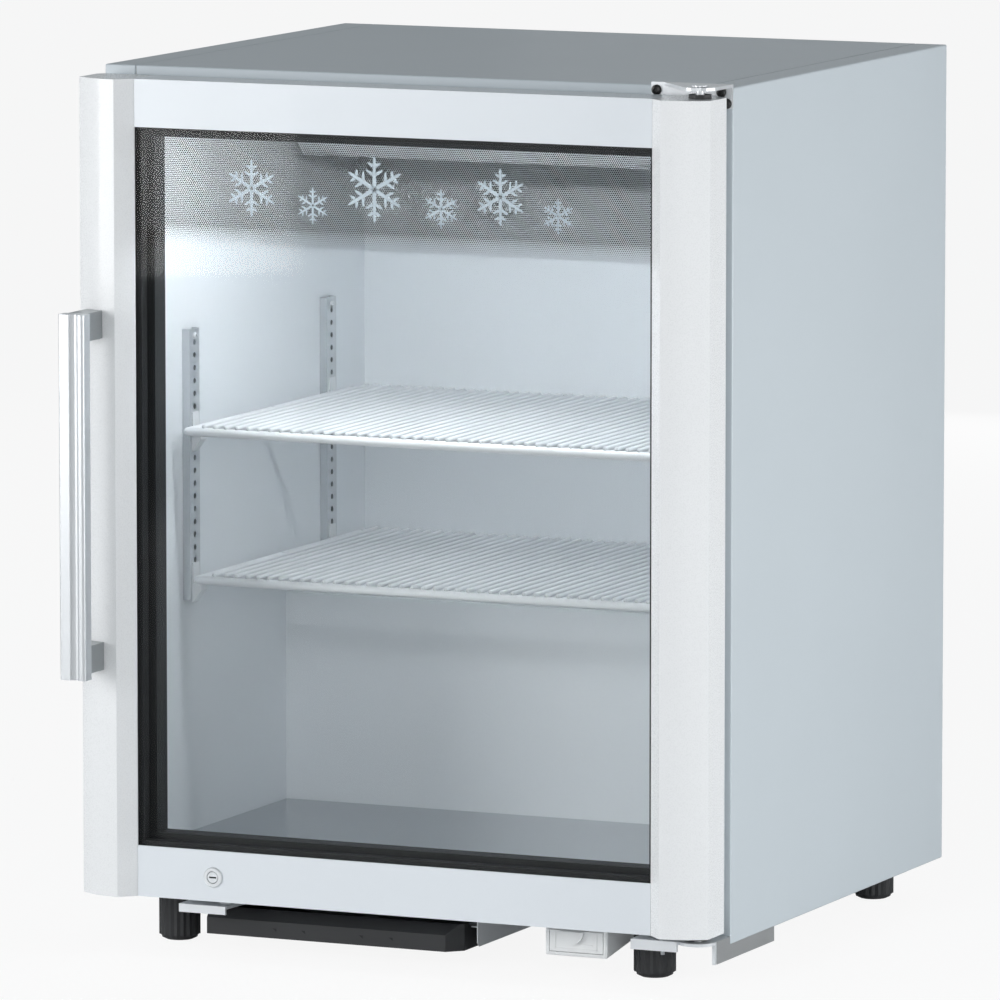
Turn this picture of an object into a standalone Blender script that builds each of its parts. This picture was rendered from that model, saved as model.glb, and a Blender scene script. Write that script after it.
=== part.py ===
"""Countertop glass door merchandiser: cabinet, door, shelves, cooling unit and underside fittings.

Units are metres, +Z is up and the front faces -Y. The origin is on the floor, at the centre of
the overall box.
"""
import math

import bmesh
import bpy
from mathutils import Matrix, Vector

# Driving dimensions of the cabinet
CABINET_WIDTH = 0.662
CABINET_DEPTH = 0.549
CABINET_HEIGHT = 0.820
FOOT_CLEARANCE = 0.041
SHEET = 0.001
WALL = 0.041
FLANGE = 0.033
LINER = 0.0015
FRAME_DEPTH = 0.018
PAN_RISE = 0.008
PAN_SIDE = 0.020
NUT_HEIGHT = 0.010
GRILLE_MARGIN = 0.026
GRILLE_COLUMNS = 4
GRILLE_ROWS = 9
FLOOR_RISE = 0.052
MACHINE_DEPTH = 0.200
MACHINE_HEIGHT = 0.225
STEP_WALL = 0.030

# Clearances
FIT = 0.0003
SEAM = 0.0008
RUN = 0.0006

# Door
DOOR_GAP = 0.011
DOOR_BODY = 0.046
DOOR_LOW = 0.0135
DOOR_DROP = 0.0080
STILE_WIDTH = 0.0590
RIDGE_RISE = 0.0145
RIDGE_OFFSET = 0.0146
EDGE_FALL = 0.0155
BACK_CHAMFER = 0.006
RAIL_TOP = 0.0465
RAIL_BOTTOM = 0.0500
LIP = 0.002
POCKET = 0.008
EXTRUSION = 0.003
STILE_CAP = 0.020
DART_SLOT = 0.008
PANE = 0.004
PANE_SPACE = 0.012
SPACER_WIDTH = 0.012
BEZEL_SHOW = 0.010
GASKET_WIDTH = 0.014
GASKET_INSET = 0.016
GASKET_WAIST = 0.002
GASKET_OVER = 0.004
HINGE_INSET = 0.019
HINGE_DEPTH = 0.025
PIN_RADIUS = 0.004
BUSH_RADIUS = 0.008
BUSH_SINK = 0.012
BUSH_COLLAR = 0.003
BUSH_RISE = 0.004
PIN_HEAD = 0.0015

# Handle
HANDLE_WIDTH = 0.027
HANDLE_THICK = 0.015
HANDLE_LENGTH = 0.356
HANDLE_LOW = 0.2315
HANDLE_X = 0.0205
STANDOFF = 0.032
STANDOFF_WIDTH = 0.020
STANDOFF_HEIGHT = 0.027
STANDOFF_INSET = 0.005
HANDLE_ROUND = 0.003
HANDLE_EDGE = 0.001
SCOOP_LEFT = 0.0108
SCOOP_RIGHT = 0.02106
SCOOP_SAG = 0.003

# Lock
LOCK_X = 0.141
LOCK_Z = 0.024
LOCK_RING = 0.0100
LOCK_BODY = 0.0080
LOCK_CORE = 0.0055
LOCK_LENGTH = 0.022
RING_PROUD = 0.0018
BOLT_WIDTH = 0.010
BOLT_THICK = 0.005
KEY_HALF = 0.0008
KEY_LENGTH = 0.0077
RING_BEVEL = 0.001

# Interior
PILASTER_DEPTH = 0.008
PILASTER_WIDTH = 0.022
PILASTER_LENGTH = 0.268
PILASTER_LOW = 0.286
PILASTER_FRONT = 0.083
PILASTER_REAR = 0.400
HOLE_PITCH = 0.0127
HOLE_RADIUS = 0.0030
CLIP_WIDTH = 0.014
CLIP_HEIGHT = 0.020
CLIP_REACH = 0.010
SHELF_HEIGHTS = (0.3065, 0.4560)
SHELF_FRONTS = (0.086, 0.064)
SHELF_REAR_GAPS = (0.047, 0.069)
SHELF_SIDE_GAP = 0.0125
BAR_RADIUS = 0.0045
BAR_SIDES = 6
WIRE_RADIUS = 0.0025
WIRE_PITCH = 0.0119
WIRE_LIFT = 0.001
LAMP_LENGTH = 0.440
LAMP_SIZE = 0.020
COVER_HEIGHT = 0.070
COVER_DEPTH = 0.230
COVER_SIDE_GAP = 0.030
COVER_SKIN = 0.002
COVER_SLOPE = 0.022
COVER_SLOTS = 12
COIL_DEPTH = 0.060
COIL_SIDE_GAP = 0.052
MOUTH_HALF = 0.130
FAN_RADIUS = 0.050
FAN_DEPTH = 0.016
MOTOR_RADIUS = 0.024
MOTOR_LENGTH = 0.030
SHAFT_RADIUS = 0.003
BLADES = 5
BLADE_THICK = 0.0016
BLADE_TIP_GAP = 0.006

# Machine compartment
MACHINE_INSET = 0.012
MACHINE_HEADROOM = 0.020
COMPRESSOR_INSET = 0.008
COMPRESSOR_SIDE_GAP = 0.030
COMPRESSOR_DROP = 0.0287
COMPRESSOR_FOOT = 0.006
COMPRESSOR_WALL = 0.013
CONDENSER_WIDTH = 0.200
CONDENSER_DEPTH = 0.050
CONDENSER_FAN_MOUTH = 0.075
CONDENSER_MOTOR_LENGTH = 0.045
SHROUD = 0.002
STRUT_HALF = 0.008
INLET_SIDE = 0.060
INLET_RISE = 0.045
INLET_HALF_WIDTH = 0.014
INLET_HALF_HEIGHT = 0.011
INLET_DEPTH = 0.024
INLET_WALL = 0.0025
INLET_BACK = 0.006

# Underside
BRACKET = 0.003
BRACKET_WIDTH = 0.083
BRACKET_BACK = 0.110
BRACKET_FLANGE = 0.022
NOSE_RADIUS = 0.018
NOSE_LEFT = 0.010
LEG_DROP = 0.020
LEG_STEP = 0.006
LEG_TAB = 0.012
LEG_SLANT = 0.004
LIP_SETBACK = 0.0135
LIP_DROP = 0.010
ROD_RADIUS = 0.002
ROD_HANG = 0.012
ROD_LEFT = 0.030
ROD_SETBACK = 0.005
ROD_END_GAP = 0.004
FOOT_RADIUS = 0.0205
FOOT_STUD = 0.005
FOOT_RIM = 0.005
FOOT_FLUTES = 20
FLUTE_DEPTH = 0.0011
TREAD_RADIUS = 0.0135
STUD_RISE = 0.008
FOOT_INSET_LEFT = 0.064
FOOT_INSET_RIGHT = 0.090
FOOT_SETBACK = 0.026
STRIKE_WIDTH = 0.050
STRIKE_LIP = 0.008
STRIKE_BACK = 0.011
STRIKE_EDGE = 0.004
STRIKE_FLARE = 0.006
TRAY_LEFT = 0.112
TRAY_WIDTH = 0.270
TRAY_HEIGHT = 0.026
TRAY_DEPTH = 0.260
TRAY_SETBACK = -0.012
TRAY_WALL = 0.002
TRAY_RIM = 0.008
TRAY_CHAMFER = 0.014
TRAY_FRONT = 0.012
TRAY_BEVEL = 0.010
TRAY_RIM_THICK = 0.003
BOX_RIGHT = 0.120
BOX_WIDTH = 0.065
BOX_HEIGHT = 0.028
BOX_DEPTH = 0.100
BOX_TAPER = 0.014
BOX_PROUD = 0.020
BOX_SKIN = 0.002
BOX_POCKET = 0.024
COVER_PLATE = 0.002
TAB_RADIUS = 0.0125
TAB_PROUD = 0.0035
TAB_OFFSET = 0.004
KNOB_RADIUS = 0.0085
KNOB_NECK = 0.003
KNOB_GAP = 0.004
KNOB_MARK = 0.0006

# Derived planes
HALF = CABINET_WIDTH / 2
INNER = HALF - WALL
REACH = DOOR_GAP + DOOR_BODY + RIDGE_RISE + STANDOFF + HANDLE_THICK
FRONT = REACH - (CABINET_DEPTH + REACH) / 2
BACK = FRONT + CABINET_DEPTH
BASE = FOOT_CLEARANCE
TOP = BASE + CABINET_HEIGHT
PAN = BASE + PAN_RISE
FLOOR = BASE + FLOOR_RISE
CEILING = TOP - WALL
REAR_WALL = BACK - WALL
MACHINE_FRONT = BACK - MACHINE_DEPTH
MACHINE_TOP = PAN + SHEET + MACHINE_HEIGHT
STEP_FRONT = MACHINE_FRONT - STEP_WALL
STEP_TOP = MACHINE_TOP + STEP_WALL
DOOR_BACK = FRONT - DOOR_GAP
DOOR_FACE = DOOR_BACK - DOOR_BODY
DOOR_BOTTOM = BASE + DOOR_LOW
DOOR_TOP = TOP - DOOR_DROP
OPEN_X = HALF - STILE_WIDTH
OPEN_LOW = DOOR_BOTTOM + RAIL_BOTTOM
OPEN_HIGH = DOOR_TOP - RAIL_TOP
RIDGE_X = OPEN_X + RIDGE_OFFSET
RIDGE_Y = DOOR_FACE - RIDGE_RISE
HINGE_X = HALF - HINGE_INSET
HINGE_Y = DOOR_BACK - HINGE_DEPTH
HANDLE_MID = -(HALF - HANDLE_X)
BAR_DROP = BAR_RADIUS * math.cos(math.pi / BAR_SIDES)

PARTS = {}


def clear_scene():
    for obj in list(bpy.data.objects):
        bpy.data.objects.remove(obj)


def material(name, colour, roughness, metallic):
    made = bpy.data.materials.new(name)
    made.use_nodes = True
    shader = made.node_tree.nodes["Principled BSDF"]
    shader.inputs["Base Color"].default_value = (*colour, 1.0)
    shader.inputs["Roughness"].default_value = roughness
    shader.inputs["Metallic"].default_value = metallic
    return made


LOOKS = {
    "panel": ((0.66, 0.70, 0.74), 0.45, 0.0),
    "white": ((0.88, 0.90, 0.92), 0.40, 0.0),
    "zinc": ((0.72, 0.74, 0.76), 0.35, 0.9),
    "steel": ((0.60, 0.61, 0.62), 0.30, 1.0),
    "black": ((0.02, 0.02, 0.022), 0.55, 0.0),
    "foam": ((0.86, 0.80, 0.62), 0.90, 0.0),
    "glass": ((0.90, 0.95, 0.95), 0.05, 0.0),
}


def finish(obj, look):
    """Give the object its own material and keep it under its name."""
    colour, roughness, metallic = LOOKS[look]
    obj.data.materials.clear()
    obj.data.materials.append(material(obj.name + "_finish", colour, roughness, metallic))
    obj.data.shade_smooth()
    obj.data.set_sharp_from_angle(angle=math.radians(30))
    PARTS[obj.name] = obj
    return obj


def from_bmesh(name, bm):
    bmesh.ops.recalc_face_normals(bm, faces=bm.faces[:])
    mesh = bpy.data.meshes.new(name)
    bm.to_mesh(mesh)
    bm.free()
    obj = bpy.data.objects.new(name, mesh)
    bpy.context.collection.objects.link(obj)
    return obj


def box(name, low, high):
    bm = bmesh.new()
    bmesh.ops.create_cube(bm, size=1.0)
    size = Vector(high) - Vector(low)
    middle = (Vector(high) + Vector(low)) / 2
    place = Matrix.Translation(middle) @ Matrix.Diagonal((*size, 1))
    bmesh.ops.transform(bm, matrix=place, verts=bm.verts[:])
    return from_bmesh(name, bm)


# Where the two outline coordinates and the length of an extrusion go
PLACES = {
    "x": lambda u, v, t: (t, u, v),
    "y": lambda u, v, t: (u, t, v),
    "z": lambda u, v, t: (u, v, t),
}


def extrude(name, outline, axis, start, end):
    """Extrude a closed outline along one axis."""
    place = PLACES[axis]
    bm = bmesh.new()
    near = [bm.verts.new(place(u, v, start)) for u, v in outline]
    far = [bm.verts.new(place(u, v, end)) for u, v in outline]
    bm.faces.new(near)
    bm.faces.new(far)
    for i, _ in enumerate(near):
        j = (i + 1) % len(near)
        bm.faces.new((near[i], near[j], far[j], far[i]))
    return from_bmesh(name, bm)


def ring(name, outer, inner, axis, start, end):
    """Extrude a rectangular frame; outer and inner are (u0, v0, u1, v1)."""
    frame = extrude(name, rectangle(*outer), axis, start, end)
    over = end - start
    return cut(frame, extrude("hole", rectangle(*inner), axis, start - over, end + over))


def rectangle(u0, v0, u1, v1):
    return [(u0, v0), (u1, v0), (u1, v1), (u0, v1)]


def arc(centre, radius, start, end, steps):
    """Points along an arc, with its angles in degrees."""
    turns = [math.radians(start + (end - start) * i / steps) for i in range(steps + 1)]
    return [(centre[0] + radius * math.cos(a), centre[1] + radius * math.sin(a)) for a in turns]


def revolve(name, profile, centre, axis="z", sides=24):
    """Turn a profile of (radius, height) points about a line through the centre."""
    place = PLACES[axis]
    bm = bmesh.new()
    rows = []
    for radius, height in profile:
        turn = [2 * math.pi * i / sides for i in range(sides)]
        rows.append([bm.verts.new(place(radius * math.cos(a), radius * math.sin(a), height)) for a in turn])
    for low, high in zip(rows, rows[1:]):
        for i in range(sides):
            j = (i + 1) % sides
            bm.faces.new((low[i], low[j], high[j], high[i]))
    bm.faces.new(rows[0])
    bm.faces.new(rows[-1])
    bmesh.ops.translate(bm, vec=Vector(centre), verts=bm.verts[:])
    return from_bmesh(name, bm)


def cylinder(name, centre, radius, start, end, axis="z", sides=24):
    return revolve(name, [(radius, start), (radius, end)], centre, axis, sides)


def combine(obj, tools, operation):
    """Apply one Boolean for each tool, then remove the tools."""
    for tool in tools:
        change = obj.modifiers.new(operation, "BOOLEAN")
        change.operation = operation
        change.solver = "EXACT"
        change.object = tool
    bpy.context.view_layer.update()
    graph = bpy.context.evaluated_depsgraph_get()
    mesh = bpy.data.meshes.new_from_object(obj.evaluated_get(graph))
    obj.modifiers.clear()
    obj.data = mesh
    for tool in tools:
        bpy.data.objects.remove(tool)
    return obj


def cut(obj, *tools):
    return combine(obj, tools, "DIFFERENCE")


def fuse(obj, *tools):
    return combine(obj, tools, "UNION")


def bevel(obj, width, segments=2, angle=30):
    """Round the edges that turn by more than the angle."""
    bm = bmesh.new()
    bm.from_mesh(obj.data)
    limit = math.radians(angle)
    edges = [e for e in bm.edges if len(e.link_faces) == 2 and e.calc_face_angle() > limit]
    bmesh.ops.bevel(bm, geom=edges, offset=width, segments=segments, affect="EDGES", profile=0.5)
    bm.to_mesh(obj.data)
    bm.free()
    return obj


def set_origin(obj, point):
    """Put the object's origin on its joint axis without moving the shape."""
    obj.data.transform(Matrix.Translation(-Vector(point)))
    obj.location = point
    return obj


def mirrored(points):
    return [(-u, v) for u, v in reversed(points)]


def make_side_panel(name, side):
    """One sheet folded over the top, the front and the rear."""
    far = HALF - FLANGE
    shell = box(name, (far, FRONT, BASE), (HALF, BACK, TOP))
    bevel(shell, SHEET, 1)
    inside = HALF - SHEET
    hollow = box("hollow", (far - FLANGE, FRONT + SHEET, BASE - FLANGE), (inside, BACK - SHEET, TOP - SHEET))
    notch = box("notch", (far - FLANGE, FRONT - FLANGE, BASE - FLANGE), (inside, FRONT + FLANGE, PAN))
    cut(shell, hollow, notch)
    if side < 0:
        shell.data.transform(Matrix.Scale(-1, 4, (1, 0, 0)))
        shell.data.flip_normals()
    finish(shell, "panel")


def make_top_panel():
    reach = HALF - FLANGE - SEAM
    low = TOP - FLANGE
    bend = SHEET
    outline = [(FRONT, low), (FRONT, TOP - bend), (FRONT + bend, TOP), (BACK - bend, TOP), (BACK, TOP - bend)]
    outline += [(BACK, low), (BACK - SHEET, low), (BACK - SHEET, TOP - SHEET)]
    outline += [(FRONT + SHEET, TOP - SHEET), (FRONT + SHEET, low)]
    finish(extrude("top_panel", outline, "x", -reach, reach), "panel")


def make_rear_panel():
    reach = HALF - FLANGE - SEAM
    low = MACHINE_TOP + SEAM
    finish(box("rear_panel", (-reach, BACK - SHEET, low), (reach, BACK, TOP - FLANGE - SEAM)), "panel")


def make_rear_grille():
    """The pressed cover of the machine compartment, with rows of air slots."""
    reach = HALF - FLANGE - SEAM
    low = PAN + SHEET + SEAM
    cover = box("rear_grille", (-reach, BACK - SHEET, low), (reach, BACK, MACHINE_TOP))
    slots = []
    width = (2 * reach - GRILLE_MARGIN) / GRILLE_COLUMNS - GRILLE_MARGIN
    pitch = (MACHINE_TOP - low - 2 * GRILLE_MARGIN) / (GRILLE_ROWS - 1)
    half = pitch / 4
    for column in range(GRILLE_COLUMNS):
        left = -reach + GRILLE_MARGIN + column * (width + GRILLE_MARGIN)
        for row in range(GRILLE_ROWS):
            height = low + GRILLE_MARGIN + row * pitch
            start = (left, BACK - FLANGE, height - half)
            slots.append(box("slot", start, (left + width, BACK + FLANGE, height + half)))
    finish(cut(cover, *slots), "zinc")


def foot_places():
    rear = BACK - FOOT_SETBACK
    front = FRONT + FOOT_SETBACK
    left = -(HALF - FOOT_INSET_LEFT)
    right = HALF - FOOT_INSET_RIGHT
    return {"front_left": (left, front), "front_right": (right, front),
            "rear_left": (left, rear), "rear_right": (-left, rear)}


def make_base_pan():
    """Folded pan with a tall front flange, low sides and a weld nut for each foot."""
    edge = HALF - SHEET - FIT
    front_edge = HALF - FLANGE - SEAM
    pan = box("base_pan", (-edge, FRONT + SHEET + FIT, PAN), (edge, BACK - SHEET - FIT, PAN + PAN_SIDE))
    hollow = box("hollow", (-edge + SHEET, FRONT - FLANGE, PAN + SHEET),
                 (edge - SHEET, BACK + FLANGE, PAN + FLANGE))
    cut(pan, hollow)
    lip = box("lip", (-front_edge, FRONT, PAN), (front_edge, FRONT + SHEET, BASE + FLANGE))
    web = box("web", (-front_edge, FRONT, PAN), (front_edge, FRONT + 2 * SHEET, PAN + SHEET))
    nuts = [cylinder("nut", (x, y, 0), 2 * FOOT_STUD, PAN + SHEET / 2, PAN + NUT_HEIGHT, sides=12)
            for x, y in foot_places().values()]
    fuse(pan, lip, web, *nuts)
    holes = [cylinder("hole", (x, y, 0), FOOT_STUD + RUN, PAN - FLANGE, PAN + FLANGE, sides=12)
             for x, y in foot_places().values()]
    finish(cut(pan, *holes), "zinc")


def cavity_outline(grow):
    """Side section of the inside, with the step over the machine compartment."""
    front = FRONT + FRAME_DEPTH + FIT
    return [(front, FLOOR - grow), (STEP_FRONT + grow, FLOOR - grow), (STEP_FRONT + grow, STEP_TOP - grow),
            (REAR_WALL + grow, STEP_TOP - grow), (REAR_WALL + grow, CEILING + grow), (front, CEILING + grow)]


def make_liner():
    shell = extrude("inner_liner", cavity_outline(LINER), "x", -INNER - LINER, INNER + LINER)
    inside = [(y if y > FRONT + 2 * FRAME_DEPTH else FRONT - FLANGE, z) for y, z in cavity_outline(0)]
    finish(cut(shell, extrude("inside", inside, "x", -INNER, INNER)), "white")


def make_insulation():
    edge = HALF - 2 * SHEET - 2 * FIT
    low = PAN + SHEET + FIT
    front = FRONT + 2 * SHEET + FIT
    foam = box("insulation", (-edge, front, low), (edge, BACK - SHEET - FIT, TOP - SHEET - FIT))
    gap = LINER + FIT
    inside = [(y if y > FRONT + 2 * FRAME_DEPTH else FRONT - FLANGE, z) for y, z in cavity_outline(gap)]
    cavity = extrude("inside", inside, "x", -INNER - gap, INNER + gap)
    opening = box("opening", (-HALF + FLANGE, FRONT - FLANGE, BASE + FLANGE),
                  (HALF - FLANGE, FRONT + FRAME_DEPTH + FIT, TOP - FLANGE))
    machine = box("machine", (-HALF, MACHINE_FRONT, BASE - FLANGE), (HALF, BACK + FLANGE, MACHINE_TOP))
    nuts = [cylinder("nut", (x, y, 0), 2 * FOOT_STUD + FIT, BASE, PAN + NUT_HEIGHT + FIT, sides=12)
            for x, y in foot_places().values()]
    finish(cut(foam, cavity, opening, machine, *nuts), "foam")


def make_front_frame():
    edge = HALF - FLANGE - FIT
    outer = (-edge, BASE + FLANGE + FIT, edge, TOP - FLANGE - FIT)
    inner = (-INNER, FLOOR, INNER, CEILING)
    frame = ring("front_frame", outer, inner, "y", FRONT, FRONT + FRAME_DEPTH)
    finish(frame, "white")


def make_floor_plate():
    side = INNER - SEAM
    low = FLOOR + FIT
    plate = box("floor_plate", (-side, FRONT + SEAM, low), (side, STEP_FRONT - SEAM, low + SHEET))
    finish(plate, "steel")


def make_pilasters():
    """Slotted channels on the side walls, each with the clips of two shelves."""
    low = BASE + PILASTER_LOW
    depths = {"front": FRONT + PILASTER_FRONT, "rear": FRONT + PILASTER_REAR}
    wall = INNER - FIT
    face = wall - PILASTER_DEPTH
    for side_name, side in (("left", -1), ("right", 1)):
        for end_name, near in depths.items():
            far = near + PILASTER_WIDTH
            channel = [(wall, near), (face, near), (face, far), (wall, far), (wall, far - SHEET)]
            channel += [(face + SHEET, far - SHEET), (face + SHEET, near + SHEET), (wall, near + SHEET)]
            name = f"{end_name}_{side_name}_pilaster"
            strip = extrude(name, channel, "z", low, low + PILASTER_LENGTH)
            middle = (near + far) / 2
            count = int((PILASTER_LENGTH - HOLE_PITCH) / HOLE_PITCH)
            first = low + (PILASTER_LENGTH - (count - 1) * HOLE_PITCH) / 2
            holes = [cylinder("hole", (0, middle, first + i * HOLE_PITCH), HOLE_RADIUS, face - SHEET,
                              face + 2 * SHEET, axis="x", sides=6) for i in range(count)]
            cut(strip, *holes)
            clips = [make_clip(face, middle, BASE + height) for height in SHELF_HEIGHTS]
            fuse(strip, *clips)
            if side < 0:
                strip.data.transform(Matrix.Scale(-1, 4, (1, 0, 0)))
                strip.data.flip_normals()
            finish(strip, "zinc")


def make_clip(face, middle, height):
    """Shelf clip: a tongue on the channel with a ledge under the shelf's side rail."""
    seat = height - BAR_DROP - FIT
    outline = [(face + SHEET / 2, seat - CLIP_HEIGHT), (face + SHEET / 2, seat + CLIP_HEIGHT)]
    outline += [(face - SHEET, seat + CLIP_HEIGHT), (face - 2 * SHEET, seat)]
    outline += [(face - CLIP_REACH, seat), (face - CLIP_REACH, seat - CLIP_HEIGHT / 3)]
    return extrude("clip", outline, "y", middle - CLIP_WIDTH / 2, middle + CLIP_WIDTH / 2)


def make_shelf(name, height, front, rear_gap):
    """Wire shelf: a rail all round, one middle bar and wires from front to back on top."""
    near = FRONT + front
    far = REAR_WALL - rear_gap
    side = INNER - SHELF_SIDE_GAP
    z = BASE + height
    middle = (near + far) / 2
    frame = cylinder(name, (0, near, z), BAR_RADIUS, -side, side, "x", BAR_SIDES)
    rails = [cylinder("bar", (0, y, z), BAR_RADIUS, -side, side, "x", BAR_SIDES) for y in (middle, far)]
    inset = side - BAR_RADIUS
    rails += [cylinder("rail", (x, 0, z), BAR_RADIUS, near, far, "y", BAR_SIDES) for x in (-inset, inset)]
    fuse(frame, *rails)
    count = int(2 * (inset - WIRE_PITCH) / WIRE_PITCH) + 1
    first = -(count - 1) * WIRE_PITCH / 2
    lift = z + BAR_RADIUS + WIRE_LIFT
    wires = [cylinder("wire", (first + i * WIRE_PITCH, 0, lift), WIRE_RADIUS, near - WIRE_RADIUS,
                      far + WIRE_RADIUS, "y", 4) for i in range(count)]
    finish(fuse(frame, *wires), "white")


def make_lamp():
    """LED lamp behind the top of the door opening, on the ceiling."""
    half = LAMP_LENGTH / 2
    near = FRONT + FRAME_DEPTH + 2 * SEAM
    high = CEILING - FIT
    far = near + LAMP_SIZE
    body = [(near, high), (near, high - LAMP_SIZE / 2), (far, high - LAMP_SIZE / 2), (far, high)]
    finish(extrude("lamp_housing", body, "x", -half, half), "white")
    centre = ((near + far) / 2, high - LAMP_SIZE / 2 - FIT)
    lens = arc(centre, LAMP_SIZE / 2, 180, 360, 8)
    finish(extrude("lamp_lens", lens, "x", -half, half), "glass")


def make_evaporator():
    """Cold unit on the ceiling: a cover with a fan mouth, the finned coil, the motor and its fan."""
    far = REAR_WALL - SEAM
    near = far - COVER_DEPTH
    high = CEILING - FIT
    low = high - COVER_HEIGHT
    half = INNER - COVER_SIDE_GAP
    skin = COVER_SKIN
    slope = COVER_SLOPE
    outline = [(near, high), (near, low + slope), (near + slope, low), (far, low), (far, high)]
    cover = extrude("evaporator_cover", outline, "x", -half, half)
    inside = [(near + skin, high + skin), (near + skin, low + slope + skin / 2),
              (near + slope + skin / 2, low + skin), (far - skin, low + skin), (far - skin, high + skin)]
    cut(cover, extrude("inside", inside, "x", -half + skin, half - skin))
    slots = []
    pitch = 2 * (half - slope) / COVER_SLOTS
    for i in range(COVER_SLOTS):
        left = -half + slope + i * pitch
        start = (left, near - slope, low + slope + 4 * skin)
        slots.append(box("slot", start, (left + pitch * 0.6, near + slope / 2, high - 4 * skin)))
    mouth_y = near + slope + FAN_RADIUS + 4 * skin
    mouth = box("mouth", (-MOUTH_HALF, mouth_y - FAN_RADIUS * 0.6, low - skin),
                (MOUTH_HALF, mouth_y + FAN_RADIUS * 0.6, low + 2 * skin))
    finish(cut(cover, mouth, *slots), "white")

    coil_far = far - 2 * skin
    coil_near = coil_far - COIL_DEPTH
    coil_half = half - COIL_SIDE_GAP
    coil_low = (-coil_half, coil_near, low + skin + FIT)
    make_fins("evaporator_coil", coil_low, (coil_half, coil_far, high - 4 * skin), 16)

    axle_z = (low + high) / 2
    motor_far = coil_near - FIT
    motor_near = motor_far - MOTOR_LENGTH
    profile = [(SHAFT_RADIUS, motor_near - FAN_DEPTH), (SHAFT_RADIUS, motor_near)]
    profile += [(MOTOR_RADIUS, motor_near), (MOTOR_RADIUS, motor_far)]
    finish(revolve("evaporator_motor", profile, (0, 0, axle_z), "y", 16), "black")
    fan_centre = (0, motor_near - FAN_DEPTH / 2 - RUN, axle_z)
    finish(make_fan("evaporator_fan", fan_centre, MOTOR_RADIUS + 2 * skin), "black")


def make_fan(name, centre, radius):
    """Five-blade impeller with a bored hub, turning about the y axis."""
    x, y, z = centre
    hub_radius = radius * 0.36
    half = FAN_DEPTH / 2
    hub = cylinder(name, (x, 0, z), hub_radius, y - half, y + half, "y", 16)
    blades = []
    chord = radius * 0.34
    rise = half * 0.8
    section = [(-chord, -rise), (chord, rise - BLADE_THICK), (chord, rise), (-chord, -rise + BLADE_THICK)]
    for i in range(BLADES):
        blade = extrude("blade", section, "z", hub_radius * 0.7, radius)
        turn = Matrix.Rotation(2 * math.pi * i / BLADES, 4, "Y")
        blade.data.transform(Matrix.Translation((x, y, z)) @ turn)
        blades.append(blade)
    fuse(hub, *blades)
    cut(hub, cylinder("bore", (x, 0, z), SHAFT_RADIUS + RUN, y - 2 * half, y + 2 * half, "y", 16))
    return set_origin(hub, (x, y, z))


def make_fins(name, low, high, count):
    """Finned coil block: end plates joined by a core, with a comb of fins."""
    core_drop = (high[2] - low[2]) * 0.18
    core_low = (low[0], low[1] + SHEET, low[2] + core_drop)
    core = box(name, core_low, (high[0], high[1] - SHEET, high[2] - core_drop))
    pitch = (high[0] - low[0]) / count
    fins = []
    for i in range(count):
        left = low[0] + i * pitch
        fins.append(box("fin", (left, low[1], low[2]), (left + pitch * 0.4, high[1], high[2])))
    return finish(fuse(core, *fins), "steel")


def make_machine():
    """Compressor, condenser, shroud, motor and fan on the base pan behind the grille."""
    deck = PAN + SHEET + FIT
    near = MACHINE_FRONT + MACHINE_INSET
    far = BACK - SHEET - MACHINE_INSET
    middle = (near + far) / 2
    room = MACHINE_HEIGHT - MACHINE_HEADROOM
    make_compressor((near, middle, far), deck, room - COMPRESSOR_DROP)

    coil_left = -INNER
    coil_right = coil_left + CONDENSER_WIDTH
    coil_far = near + CONDENSER_DEPTH
    make_fins("condenser_coil", (coil_left, near, deck), (coil_right, coil_far, deck + room), 14)

    plate_near = coil_far + FIT
    plate_far = plate_near + SHROUD
    fan_x = (coil_left + coil_right) / 2
    fan_z = deck + room / 2
    shroud = box("condenser_shroud", (coil_left, plate_near, deck), (coil_right, plate_far, deck + room))
    axis = (fan_x, 0, fan_z)
    mouth = cylinder("mouth", axis, CONDENSER_FAN_MOUTH, plate_near - SHROUD, plate_far + SHROUD, "y", 28)
    cut(shroud, mouth)
    fan_half = FAN_DEPTH / 2
    fan_y = plate_far + fan_half + 3 * RUN
    strut_near = fan_y + fan_half + 3 * RUN
    strut_far = strut_near + SHROUD
    low = fan_z - STRUT_HALF
    high = fan_z + STRUT_HALF
    strut = box("strut", (coil_left, strut_near, low), (coil_right, strut_far, high))
    posts = [box("post", (x, plate_near, low), (x + SHROUD, strut_far, high))
             for x in (coil_left, coil_right - SHROUD)]
    fuse(shroud, strut, *posts)
    over = SHROUD / 2
    hole = cylinder("hole", axis, SHAFT_RADIUS + RUN, strut_near - over, strut_far + over, "y", 12)
    finish(cut(shroud, hole), "zinc")

    motor_near = strut_far + FIT
    profile = [(SHAFT_RADIUS, fan_y - fan_half), (SHAFT_RADIUS, motor_near), (MOTOR_RADIUS, motor_near)]
    profile += [(MOTOR_RADIUS, motor_near + CONDENSER_MOTOR_LENGTH)]
    finish(revolve("condenser_motor", profile, axis, "y", 16), "black")
    tip = CONDENSER_FAN_MOUTH - BLADE_TIP_GAP
    finish(make_fan("condenser_fan", (fan_x, fan_y, fan_z), tip), "black")


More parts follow.
